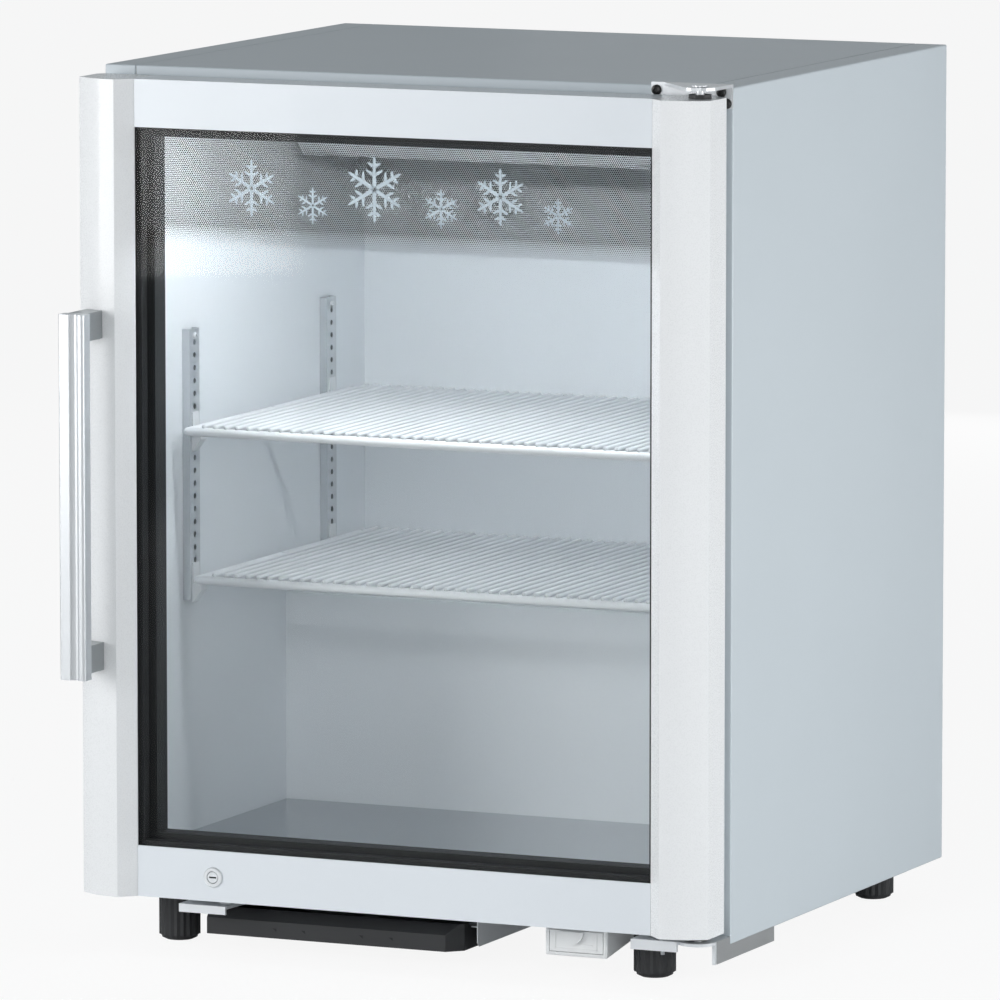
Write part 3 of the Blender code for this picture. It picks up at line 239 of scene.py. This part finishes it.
def math_node(tree, operation, first, second=0.0):
    """One Math node; each input is a number or another node's output."""
    node = new(tree, "ShaderNodeMath", operation=operation)
    for socket, value in zip(node.inputs, (first, second)):
        if isinstance(value, float):
            socket.default_value = value
        else:
            link(tree, value, socket)
    return node.outputs["Value"]


def coordinate(tree, space, axis):
    """One axis of a texture space."""
    place = new(tree, "ShaderNodeTexCoord")
    split = new(tree, "ShaderNodeSeparateXYZ")
    link(tree, place.outputs[space], split.inputs["Vector"])
    return split.outputs[axis]


def grain(tree, scale, stretch, detail=4.0):
    """Noise in the object's own metres, drawn out along an axis by the stretch."""
    place = new(tree, "ShaderNodeTexCoord")
    mapping = new(tree, "ShaderNodeMapping")
    mapping.inputs["Scale"].default_value = stretch
    noise = new(tree, "ShaderNodeTexNoise")
    noise.inputs["Scale"].default_value = scale
    noise.inputs["Detail"].default_value = detail
    link(tree, place.outputs["Object"], mapping.inputs["Vector"])
    link(tree, mapping.outputs["Vector"], noise.inputs["Vector"])
    return noise.outputs["Fac"]


def ranged(tree, value, low, high):
    """Map a 0 to 1 value onto low to high."""
    node = new(tree, "ShaderNodeMapRange")
    node.inputs["To Min"].default_value = low
    node.inputs["To Max"].default_value = high
    link(tree, value, node.inputs["Value"])
    return node.outputs["Result"]


def blended(tree, factor, first, second):
    """Mix two colours by a factor."""
    mix = new(tree, "ShaderNodeMix", data_type="RGBA")
    link(tree, factor, mix.inputs["Factor"])
    mix.inputs["A"].default_value = (*first, 1)
    mix.inputs["B"].default_value = (*second, 1)
    return mix.outputs["Result"]


def mixed(tree, factor, first, second):
    """Mix two shaders by a factor."""
    mix = new(tree, "ShaderNodeMixShader")
    link(tree, factor, mix.inputs["Fac"])
    link(tree, first, mix.inputs[1])
    link(tree, second, mix.inputs[2])
    return mix.outputs["Shader"]


def surface(name, colour, roughness, metallic=0.0, scale=700.0, stretch=EVEN, vary=0.05, bump=0.06,
            coat=0.0):
    """A finish with grain in its roughness and relief, and slow shading over the piece."""
    made, tree, shader = nodes_of(name)
    fine = grain(tree, scale, stretch)
    slow = grain(tree, SLOW_SCALE, EVEN, SLOW_DETAIL)
    dark = tuple(c * (1 - vary) for c in colour)
    pale = tuple(min(1.0, c * (1 + vary)) for c in colour)
    link(tree, blended(tree, slow, dark, pale), shader.inputs["Base Color"])
    low = max(ROUGHNESS_FLOOR, roughness - ROUGHNESS_SPREAD)
    high = min(1.0, roughness + ROUGHNESS_SPREAD)
    link(tree, ranged(tree, fine, low, high), shader.inputs["Roughness"])
    relief = new(tree, "ShaderNodeBump")
    relief.inputs["Strength"].default_value = bump
    relief.inputs["Distance"].default_value = GRAIN_DEPTH
    link(tree, fine, relief.inputs["Height"])
    link(tree, relief.outputs["Normal"], shader.inputs["Normal"])
    shader.inputs["Metallic"].default_value = metallic
    shader.inputs["Coat Weight"].default_value = coat
    return made


def glass_finish():
    """Clear sheet: see-through, with the gloss of its surface."""
    made, tree = bare_material("clear_glass")
    clear = new(tree, "ShaderNodeBsdfTransparent")
    clear.inputs["Color"].default_value = (0.995, 1.0, 1.0, 1)
    gloss = new(tree, "ShaderNodeBsdfGlossy")
    smear = grain(tree, 9.0, (1, 1, 0.4), 3.0)
    link(tree, ranged(tree, smear, 0.01, 0.05), gloss.inputs["Roughness"])
    edge = new(tree, "ShaderNodeFresnel")
    edge.inputs["IOR"].default_value = GLASS_IOR
    amount = math_node(tree, "MULTIPLY", edge.outputs["Fac"], GLASS_GLOSS)
    sheet = mixed(tree, amount, clear.outputs["BSDF"], gloss.outputs["BSDF"])
    link(tree, sheet, tree.nodes["Material Output"].inputs["Surface"])
    return made


def dot_distance(tree, across, up, shift):
    """Distance to the nearest dot of one rectangular grid, in dot pitches."""
    u = math_node(tree, "ADD", math_node(tree, "DIVIDE", across, DOT_PITCH), shift)
    v = math_node(tree, "ADD", math_node(tree, "DIVIDE", up, DOT_PITCH * math.sqrt(3)), shift)
    du = math_node(tree, "SUBTRACT", math_node(tree, "FRACT", u), 0.5)
    dv = math_node(tree, "SUBTRACT", math_node(tree, "FRACT", v), 0.5)
    dv = math_node(tree, "MULTIPLY", dv, math.sqrt(3))
    u_square = math_node(tree, "MULTIPLY", du, du)
    v_square = math_node(tree, "MULTIPLY", dv, dv)
    return math_node(tree, "SQRT", math_node(tree, "ADD", u_square, v_square))


def print_finish(width):
    """Dark dots in a staggered grid on clear film; they shrink away at the lower edge."""
    made, tree, shader = nodes_of("dot_print")
    across = math_node(tree, "MULTIPLY", coordinate(tree, "Generated", "X"), width)
    up = math_node(tree, "MULTIPLY", coordinate(tree, "Generated", "Z"), PRINT_HEIGHT)
    even_rows = dot_distance(tree, across, up, 0.0)
    odd_rows = dot_distance(tree, across, up, 0.5)
    nearest = math_node(tree, "MINIMUM", even_rows, odd_rows)
    fade = new(tree, "ShaderNodeMapRange")
    fade.inputs["From Max"].default_value = PRINT_FADE
    fade.inputs["To Max"].default_value = DOT_RADIUS
    link(tree, up, fade.inputs["Value"])
    dots = math_node(tree, "LESS_THAN", nearest, fade.outputs["Result"])
    link(tree, dots, shader.inputs["Alpha"])
    cloud = grain(tree, 30.0, EVEN, 2.0)
    ink = blended(tree, cloud, (0.020, 0.024, 0.027), (0.035, 0.040, 0.044))
    link(tree, ink, shader.inputs["Base Color"])
    shader.inputs["Roughness"].default_value = 0.45
    return made


def pilaster_finish(face):
    """Zinc channel with white plastic clips: what stands inside the channel's face is plastic."""
    made, tree, shader = nodes_of("pilaster_finish")
    out = math_node(tree, "ABSOLUTE", coordinate(tree, "Object", "X"))
    metal = math_node(tree, "GREATER_THAN", out, face)
    fine = grain(tree, 500.0, (1, 1, 0.08))
    colour = blended(tree, metal, (0.84, 0.86, 0.88), (0.70, 0.72, 0.74))
    link(tree, colour, shader.inputs["Base Color"])
    link(tree, metal, shader.inputs["Metallic"])
    link(tree, ranged(tree, fine, 0.25, 0.45), shader.inputs["Roughness"])
    relief = new(tree, "ShaderNodeBump")
    relief.inputs["Strength"].default_value = 0.05
    link(tree, fine, relief.inputs["Height"])
    link(tree, relief.outputs["Normal"], shader.inputs["Normal"])
    return made


def lamp_finish():
    """Glowing lens of the inside lamp."""
    made, tree, shader = nodes_of("lamp_glow")
    shader.inputs["Base Color"].default_value = (0.95, 0.96, 1.0, 1)
    glow = grain(tree, 60.0, EVEN, 1.0)
    link(tree, ranged(tree, glow, *LAMP_GLOW), shader.inputs["Emission Strength"])
    shader.inputs["Emission Color"].default_value = (0.96, 0.98, 1.0, 1)
    shader.inputs["Roughness"].default_value = 0.4
    return made


FINISHES = {
    "panel": surface("panel_paint", (0.61, 0.67, 0.71), 0.38, scale=1400.0, vary=0.02, bump=0.10),
    "stile": surface("stile_paint", (0.88, 0.89, 0.90), 0.28, scale=900.0, vary=0.01, bump=0.03,
                     coat=0.2),
    "rail": surface("rail_paint", (0.80, 0.84, 0.88), 0.30, scale=900.0, vary=0.015, bump=0.04,
                    coat=0.1),
    "liner": surface("liner_plastic", (0.87, 0.90, 0.93), 0.40, scale=500.0, vary=0.02, bump=0.04),
    "shelf": surface("shelf_coat", (0.86, 0.88, 0.90), 0.32, scale=900.0, vary=0.02, bump=0.06),
    "zinc": surface("zinc_plate", (0.82, 0.84, 0.86), 0.34, metallic=0.55, scale=260.0, vary=0.08,
                    bump=0.08),
    "brushed": surface("brushed_flange", (0.50, 0.50, 0.50), 0.34, metallic=0.9, scale=220.0,
                       stretch=(6, 0.3, 6), vary=0.16, bump=0.15),
    "stainless": surface("stainless_floor", (0.46, 0.48, 0.50), 0.18, metallic=1.0, scale=300.0,
                         stretch=(0.2, 6, 1), vary=0.06, bump=0.05),
    "fins": surface("coil_fins", (0.62, 0.63, 0.64), 0.35, metallic=0.9, scale=400.0, vary=0.10),
    "handle": surface("handle_metal", (0.70, 0.72, 0.74), 0.33, metallic=0.7, scale=420.0,
                      stretch=(5, 5, 0.12), vary=0.05, bump=0.10),
    "block": surface("block_metal", (0.42, 0.44, 0.45), 0.36, metallic=0.85, scale=420.0,
                     stretch=(0.4, 0.4, 6), vary=0.10, bump=0.14),
    "black": surface("black_plastic", (0.026, 0.027, 0.029), 0.48, scale=900.0, vary=0.18, bump=0.10),
    "bezel": surface("bezel_black", (0.004, 0.005, 0.006), 0.62, vary=0.15, bump=0.04),
    "enamel": surface("black_enamel", (0.022, 0.022, 0.023), 0.30, scale=500.0, vary=0.12, bump=0.06,
                      coat=0.2),
    "seal": surface("seal_vinyl", (0.52, 0.55, 0.58), 0.60, scale=600.0, vary=0.05, bump=0.08),
    "white": surface("white_plastic", (0.86, 0.87, 0.87), 0.36, vary=0.015, bump=0.05),
    "foam": surface("foam_block", (0.82, 0.74, 0.54), 0.90, scale=300.0, vary=0.10, bump=0.3),
    "motif": surface("frost_print", (0.58, 0.66, 0.72), 0.50, scale=800.0, vary=0.03, bump=0.02),
    "screw": surface("black_screw", (0.03, 0.03, 0.03), 0.30, metallic=0.6, scale=500.0, vary=0.1),
    "copper": surface("copper_pipe", (0.72, 0.40, 0.26), 0.30, metallic=1.0, scale=300.0, vary=0.12,
                      bump=0.05),
    "glass": glass_finish(),
    "pilaster": pilaster_finish(
        abs(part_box("front_right_pilaster")[1].x) - PILASTER_DEPTH - PILASTER_MARGIN),
    "lamp": lamp_finish(),
}

NODE_FINISH = {
    "panel": ["left_side_panel", "right_side_panel", "rear_panel", "top_panel"],
    "stile": ["left_stile", "right_stile"],
    "rail": ["top_rail", "bottom_rail"],
    "liner": ["inner_liner", "front_frame", "evaporator_cover"],
    "shelf": ["upper_shelf", "lower_shelf"],
    "zinc": ["rear_grille", "base_pan", "condenser_shroud", "upper_hinge_bracket", "upper_hinge_pin",
             "lower_hinge_pin", "lower_hinge_bracket", "strike_bracket", "tray_guide", "lock_barrel",
             "lock_core", "lock_bolt"],
    "stainless": ["floor_plate", "torsion_rod"],
    "fins": ["evaporator_coil", "condenser_coil"],
    "handle": ["handle_bar"],
    "block": ["upper_standoff", "lower_standoff"],
    "black": ["drip_tray", "front_left_foot", "front_right_foot", "rear_left_foot", "rear_right_foot",
              "thermostat_knob", "evaporator_fan", "condenser_fan", "power_inlet",
              "upper_hinge_bush", "lower_hinge_bush"],
    "bezel": ["inner_bezel", "glass_spacer"],
    "enamel": ["compressor", "evaporator_motor", "condenser_motor"],
    "seal": ["door_gasket"],
    "white": ["control_box", "control_cover", "lamp_housing"],
    "foam": ["insulation"],
    "glass": ["front_glass", "rear_glass"],
    "lamp": ["lamp_lens"],
    "pilaster": ["front_left_pilaster", "front_right_pilaster", "rear_left_pilaster",
                 "rear_right_pilaster"],
}


def dress_nodes():
    """Give every solid its finish."""
    for look, names in NODE_FINISH.items():
        for name in names:
            mesh = NODES[name].data
            mesh.materials.clear()
            mesh.materials.append(FINISHES[look])


def piece(name, bm, look, body):
    """Turn a mesh into a piece that rides on a body."""
    bmesh.ops.recalc_face_normals(bm, faces=bm.faces[:])
    mesh = bpy.data.meshes.new(name)
    bm.to_mesh(mesh)
    bm.free()
    mesh.materials.append(FINISHES[look])
    mesh.shade_smooth()
    mesh.set_sharp_from_angle(angle=math.radians(SHARP_ANGLE))
    made = bpy.data.objects.new(name, mesh)
    bpy.context.collection.objects.link(made)
    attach(made, body)
    return made


def add_turned(bm, profile, place, sides):
    """Add a turned solid; the profile is (radius, height) and the matrix places it."""
    rows = []
    for radius, height in profile:
        row = []
        for i in range(sides):
            angle = 2 * math.pi * i / sides
            point = Vector((radius * math.cos(angle), radius * math.sin(angle), height))
            row.append(bm.verts.new(place @ point))
        rows.append(row)
    for low, high in zip(rows, rows[1:]):
        for i in range(sides):
            j = (i + 1) % sides
            bm.faces.new((low[i], low[j], high[j], high[i]))
    bm.faces.new(list(reversed(rows[0])))
    bm.faces.new(rows[-1])


def along(start, end):
    """Matrix that carries +Z from the start point towards the end point."""
    start = Vector(start)
    direction = Vector(end) - start
    return Matrix.Translation(start) @ direction.to_track_quat("Z", "Y").to_matrix().to_4x4()


def add_rod(bm, start, end, radius, sides):
    """A round bar with domed ends."""
    length = (Vector(end) - Vector(start)).length
    dome = []
    for degrees in DOME_ANGLES:
        angle = math.radians(degrees)
        dome.append((radius * math.sin(angle), radius * (1 - math.cos(angle))))
    profile = dome + [(r, length - h) for r, h in reversed(dome)]
    add_turned(bm, profile, along(start, end), sides)


def add_plate(bm, corners, depth):
    """Flat plate: the corners of one face, and the way from it to the other face."""
    near = [bm.verts.new(corner) for corner in corners]
    far = [bm.verts.new([a + b for a, b in zip(corner, depth)]) for corner in corners]
    bm.faces.new(near)
    bm.faces.new(list(reversed(far)))
    for i, _ in enumerate(near):
        j = (i + 1) % len(near)
        bm.faces.new((near[i], far[i], far[j], near[j]))


def add_front_plate(bm, outline, y, thickness):
    """Flat plate facing the front, from an outline in x and z."""
    add_plate(bm, [(x, y, z) for x, z in outline], (0, thickness, 0))


def add_side_plate(bm, outline, x, thickness):
    """Flat plate facing sideways, from an outline in y and z."""
    add_plate(bm, [(x, y, z) for y, z in outline], (thickness, 0, 0))


def rectangle(left, bottom, right, top):
    return [(left, bottom), (right, bottom), (right, top), (left, top)]


def wire_shelf(node):
    """Coated wire shelf: three cross bars, a bar at each side and close wires on top."""
    low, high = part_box(node)
    z = low.z + BAR_LIFT
    near = low.y + WIRE_RADIUS
    far = high.y - WIRE_RADIUS
    left = low.x
    right = high.x
    bm = bmesh.new()
    for y in (near, (near + far) / 2, far):
        add_rod(bm, (left, y, z), (right, y, z), BAR_RADIUS, BAR_FACETS)
    for x in (left + BAR_RADIUS, right - BAR_RADIUS):
        add_rod(bm, (x, near, z), (x, far, z), SIDE_BAR_RADIUS, BAR_FACETS)
    span = right - left - 2 * BAR_RADIUS - 2 * WIRE_PITCH
    count = int(span / WIRE_PITCH) + 1
    first = (left + right) / 2 - (count - 1) * WIRE_PITCH / 2
    lift = high.z - WIRE_RADIUS
    for i in range(count):
        x = first + i * WIRE_PITCH
        add_rod(bm, (x, low.y, lift), (x, high.y, lift), WIRE_RADIUS, WIRE_FACETS)
    made = piece(node + "_wires", bm, "shelf", "cabinet")
    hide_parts(node)


def add_screw(bm, seat, towards, radius):
    """Pan-head screw standing on a seat, with a driver recess."""
    end = Vector(seat) + Vector(towards)
    profile = [(radius * reach, radius * rise) for reach, rise in SCREW_PROFILE]
    add_turned(bm, profile, along(seat, end), SCREW_FACETS)


def hinge_screws():
    """Three black screws of the upper hinge bracket."""
    low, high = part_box("upper_hinge_bracket")
    seat = high.y - HINGE_LEG
    upper = high.z - HINGE_SCREW_DROP
    places = [
        (low.x + HINGE_SCREW_INSET, upper),
        (high.x - 2 * HINGE_SCREW_INSET, upper),
        (high.x - HINGE_SCREW_INSET, low.z + HINGE_SCREW_LIFT),
    ]
    bm = bmesh.new()
    for x, z in places:
        add_screw(bm, (x, seat, z), (0, -1, 0), HINGE_SCREW)
    piece("upper_hinge_screws", bm, "screw", "cabinet")


def pilaster_screws():
    """Two screws in the face of each pilaster."""
    bm = bmesh.new()
    for name in NODE_FINISH["pilaster"]:
        low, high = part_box(name)
        side = 1 if low.x > 0 else -1
        outer = high.x if side > 0 else low.x
        face = outer - side * PILASTER_DEPTH
        y = (low.y + high.y) / 2
        for z in (low.z + 2 * PILASTER_SCREW_INSET, high.z - PILASTER_SCREW_INSET):
            add_screw(bm, (face, y, z), (-side, 0, 0), PILASTER_SCREW)
    piece("pilaster_screws", bm, "zinc", "cabinet")


def print_sheet():
    """Printed film along the top of the door's glass, just behind the front pane."""
    low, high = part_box("glass_spacer")
    edge = SPACER_WIDTH + PRINT_GAP
    side = high.x - edge
    top = high.z - edge
    bm = bmesh.new()
    outline = rectangle(-side, top - PRINT_HEIGHT, side, top)
    add_front_plate(bm, outline, low.y + 2 * FILM_STEP, FILM_THICK)
    FINISHES["print"] = print_finish(2 * side)
    piece("glass_print", bm, "print", "door")


def add_arm(bm, root, angle, start, end, width, y):
    """One straight arm of a crystal, at an angle about its root."""
    tip = width * ARM_TAPER
    corners = [(start, -width), (end, -tip), (end + width, 0), (end, tip), (start, width)]
    c = math.cos(angle)
    s = math.sin(angle)
    outline = [(root[0] + u * c - v * s, root[1] + u * s + v * c) for u, v in corners]
    add_front_plate(bm, outline, y, FILM_THICK)


def frost_motif():
    """Generic frost crystals of several sizes on the printed band."""
    low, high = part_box("glass_spacer")
    band = high.z - SPACER_WIDTH - PRINT_HEIGHT * CRYSTAL_LINE
    y = low.y + FILM_STEP
    bm = bmesh.new()
    for x, rise, size in CRYSTALS:
        z = band + rise
        width = size * ARM_WIDTH
        for arm in range(CRYSTAL_ARMS):
            angle = math.pi / 6 + arm * math.pi / 3
            add_arm(bm, (x, z), angle, size * ARM_START, size, width, y)
            for reach, branch in BRANCHES:
                out = reach * size
                root = (x + out * math.cos(angle), z + out * math.sin(angle))
                for turn in (-math.pi / 3, math.pi / 3):
                    add_arm(bm, root, angle + turn, width, branch * size, width * BRANCH_WIDTH, y)
    piece("frost_motif", bm, "motif", "door")


def tray_marks():
    """Small snap marks moulded low on the tray's front."""
    low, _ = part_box("drip_tray")
    y = low.y - MARK_PROUD
    z = low.z + MARK_RISE
    bm = bmesh.new()
    for x in MARK_PLACES:
        right = x + MARK_SIZE
        outline = [(x, z), (right, z - MARK_SIZE * MARK_SLOPE), (right, z)]
        add_front_plate(bm, outline, y, MARK_THICK)
    piece("tray_marks", bm, "bezel", "tray")


def guide_skirt():
    """Pale side plate of the tray's guide, seen beyond the tray's end."""
    low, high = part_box("tray_guide")
    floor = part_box("drip_tray")[0].z + SKIRT_LIFT
    top = high.z - PLATE_GAP
    near = low.y - SKIRT_CUT
    outline = [(near, top), (near, floor + SKIRT_CUT), (near + SKIRT_CUT, floor)]
    outline += [(high.y, floor), (high.y, top)]
    bm = bmesh.new()
    add_side_plate(bm, outline, high.x + PLATE_GAP, SKIRT_THICK)
    piece("guide_skirt", bm, "zinc", "cabinet")


def hinge_flange():
    """Brushed outer face of the lower hinge bracket's side flange."""
    low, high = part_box("lower_hinge_bracket")
    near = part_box("lower_hinge_pin")[0].y + FLANGE_START
    outline = [(near, low.z), (near, high.z), (high.y, high.z), (high.y, low.z)]
    bm = bmesh.new()
    add_side_plate(bm, outline, high.x + PLATE_GAP, FLANGE_SKIN)
    piece("hinge_flange", bm, "brushed", "cabinet")


def crown_skin(name):
    """Smooth painted skin over a stile's rounded front."""
    low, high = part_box(name)
    side = 1 if low.x > 0 else -1
    outer = max(abs(low.x), abs(high.x))
    ridge = min(abs(low.x), abs(high.x)) + RIDGE_OFFSET
    run = outer - ridge
    radius = (run * run + EDGE_FALL * EDGE_FALL) / (2 * EDGE_FALL)
    sweep = math.asin((run - CROWN_SKIN) / radius)
    bm = bmesh.new()
    rows = []
    for i in range(CROWN_STEPS + 1):
        angle = sweep * i / CROWN_STEPS
        row = []
        for reach in (radius + CROWN_SKIN, radius - CROWN_SKIN):
            x = side * min(outer, ridge + reach * math.sin(angle))
            y = low.y + radius - reach * math.cos(angle)
            row += [bm.verts.new((x, y, z)) for z in (low.z, high.z)]
        rows.append(row)
    for a, b in zip(rows, rows[1:]):
        for k, m in ((0, 1), (1, 3), (3, 2), (2, 0)):
            bm.faces.new((a[k], a[m], b[m], b[k]))
    for row in (rows[0], rows[-1]):
        bm.faces.new((row[0], row[1], row[3], row[2]))
    piece(name + "_skin", bm, "stile", "door")


def keyway_shade():
    """Keyway in the lock's core as a near-black block: painted shade for the dark inside of the slot.
    """
    low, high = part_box("lock_core")
    x = (low.x + high.x) / 2
    z = (low.z + high.z) / 2
    wide = KEYWAY_HALF_WIDTH
    tall = KEYWAY_HALF_HEIGHT
    bm = bmesh.new()
    outline = rectangle(x - wide, z - tall, x + wide, z + tall)
    add_front_plate(bm, outline, low.y + KEYWAY_INSET, KEYWAY_DEPTH)
    piece("keyway_shade", bm, "bezel", "lock_core_body")


def cover_lines():
    """Raised outline and finger ridge on the control cover."""
    low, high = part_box("control_cover")
    y = low.y + COVER_LIP - LINE_PROUD
    left = low.x + LINE_SIDE
    right = high.x - LINE_SIDE
    bottom = low.z + LINE_BOTTOM
    top = high.z - LINE_TOP
    ridge = bottom + FINGER_LIFT
    outlines = [
        rectangle(left, bottom, right, bottom + LINE_WIDTH),
        rectangle(right - LINE_WIDTH, bottom, right, top),
        rectangle(left, bottom, left + LINE_WIDTH, top),
        rectangle(right - FINGER_FAR, ridge, right - FINGER_NEAR, ridge + FINGER_HEIGHT),
    ]
    bm = bmesh.new()
    for outline in outlines:
        add_front_plate(bm, outline, y, LINE_THICK)
    piece("cover_lines", bm, "white", "cover")


def pipe(name, points, radius):
    """Copper line along a smooth curve through the points."""
    curve = bpy.data.curves.new(name, "CURVE")
    curve.dimensions = "3D"
    curve.bevel_depth = radius
    curve.bevel_resolution = PIPE_ROUNDNESS
    curve.use_fill_caps = True
    spline = curve.splines.new("BEZIER")
    spline.bezier_points.add(len(points) - 1)
    for knot, point in zip(spline.bezier_points, points):
        knot.co = point
        knot.handle_left_type = "AUTO"
        knot.handle_right_type = "AUTO"
    curve.materials.append(FINISHES["copper"])
    made = bpy.data.objects.new(name, curve)
    bpy.context.collection.objects.link(made)
    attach(made, "cabinet")


def refrigerant_pipes():
    """Line from the compressor's top to the condenser, and line from the condenser upwards."""
    shell_low, shell_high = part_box("compressor")
    coil_low, coil_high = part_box("condenser_coil")
    x = (shell_low.x + shell_high.x) / 2 - STUB_OFFSET
    y = (shell_low.y + shell_high.y) / 2
    top = shell_high.z - STUB_SINK
    across = coil_high.z - DISCHARGE_DROP
    rear = coil_low.y + PIPE_ROW
    inside = coil_high.x - PIPE_SINK
    pipe("discharge_pipe", [
        (x, y, top),
        (x - STUB_LEAN, y, top + STUB_RISE),
        (shell_low.x - DISCHARGE_BEND, y - DISCHARGE_SHIFT, across),
        (coil_high.x + DISCHARGE_BEND, rear, across),
        (inside, rear, across - DISCHARGE_FALL),
    ], DISCHARGE_RADIUS)
    low = coil_low.z + LIQUID_LIFT
    turn = coil_high.x + LIQUID_TURN
    pipe("liquid_pipe", [
        (inside, rear, low),
        (coil_high.x + LIQUID_REACH, rear, low),
        (turn, rear - LIQUID_SHIFT, low + LIQUID_CLIMB),
        (turn, rear - LIQUID_SHIFT, coil_high.z),
    ], LIQUID_RADIUS)


def floor_finish():
    """Pale matte floor that the camera sees almost white."""
    made, tree = bare_material("pale_floor")
    matte = new(tree, "ShaderNodeBsdfDiffuse")
    matte.inputs["Color"].default_value = (*FLOOR_COLOUR, 1)
    glow = new(tree, "ShaderNodeEmission")
    path = new(tree, "ShaderNodeLightPath")
    seen = math_node(tree, "MULTIPLY", path.outputs["Is Camera Ray"], FLOOR_GLOW)
    look = mixed(tree, seen, matte.outputs["BSDF"], glow.outputs["Emission"])
    link(tree, look, tree.nodes["Material Output"].inputs["Surface"])
    return made


def stage():
    """Wide plain floor just under the feet."""
    bm = bmesh.new()
    bmesh.ops.create_grid(bm, x_segments=1, y_segments=1, size=FLOOR_SIZE)
    mesh = bpy.data.meshes.new("floor")
    bm.to_mesh(mesh)
    bm.free()
    mesh.materials.append(floor_finish())
    floor = bpy.data.objects.new("floor", mesh)
    floor.location.z = -FLOOR_DROP
    bpy.context.collection.objects.link(floor)


def world():
    """White to the eye; as light, bright round the horizon and dim overhead."""
    sky = bpy.data.worlds.new("studio")
    bpy.context.scene.world = sky
    sky.use_nodes = True
    tree = sky.node_tree
    height = new(tree, "ShaderNodeMapRange")
    height.inputs["From Max"].default_value = ZENITH_HEIGHT
    link(tree, coordinate(tree, "Generated", "Z"), height.inputs["Value"])
    light = tree.nodes["Background"]
    link(tree, blended(tree, height.outputs["Result"], HORIZON, ZENITH), light.inputs["Color"])
    white = new(tree, "ShaderNodeBackground")
    white.inputs["Color"].default_value = (1, 1, 1, 1)
    rays = new(tree, "ShaderNodeLightPath").outputs
    seen = math_node(tree, "MAXIMUM", rays["Is Camera Ray"], rays["Is Transmission Ray"])
    look = mixed(tree, seen, light.outputs["Background"], white.outputs["Background"])
    link(tree, look, tree.nodes["World Output"].inputs["Surface"])


def area_light(name, place, size, power):
    """Soft rectangular light turned to the common aim and hidden from the camera."""
    lamp = bpy.data.lights.new(name, "AREA")
    lamp.shape = "RECTANGLE"
    lamp.size, lamp.size_y = size
    lamp.energy = power
    made = bpy.data.objects.new(name, lamp)
    made.visible_camera = False
    made.location = place
    direction = Vector(LIGHT_AIM) - Vector(place)
    made.rotation_euler = direction.to_track_quat("-Z", "Y").to_euler()
    bpy.context.collection.objects.link(made)


def camera():
    """Long lens at the photograph's viewing angle."""
    yaw = math.radians(VIEW_YAW)
    pitch = math.radians(VIEW_PITCH)
    level = math.cos(pitch)
    forward = Vector((-math.sin(yaw) * level, math.cos(yaw) * level, -math.sin(pitch)))
    lens = bpy.data.cameras.new("camera")
    lens.sensor_width = SENSOR
    lens.lens = LENS
    lens.clip_end = FAR_CLIP
    made = bpy.data.objects.new("camera", lens)
    made.location = Vector(VIEW_AIM) - VIEW_DISTANCE * forward
    made.rotation_euler = forward.to_track_quat("-Z", "Y").to_euler()
    bpy.context.collection.objects.link(made)
    bpy.context.scene.camera = made


bpy.context.scene.view_settings.view_transform = "Standard"
dress_nodes()
wire_shelf("upper_shelf")
wire_shelf("lower_shelf")
hinge_screws()
pilaster_screws()
print_sheet()
frost_motif()
tray_marks()
guide_skirt()
hinge_flange()
crown_skin("left_stile")
crown_skin("right_stile")
keyway_shade()
cover_lines()
refrigerant_pipes()
stage()
world()
for light_row in LIGHTS:
    area_light(*light_row)
camera()
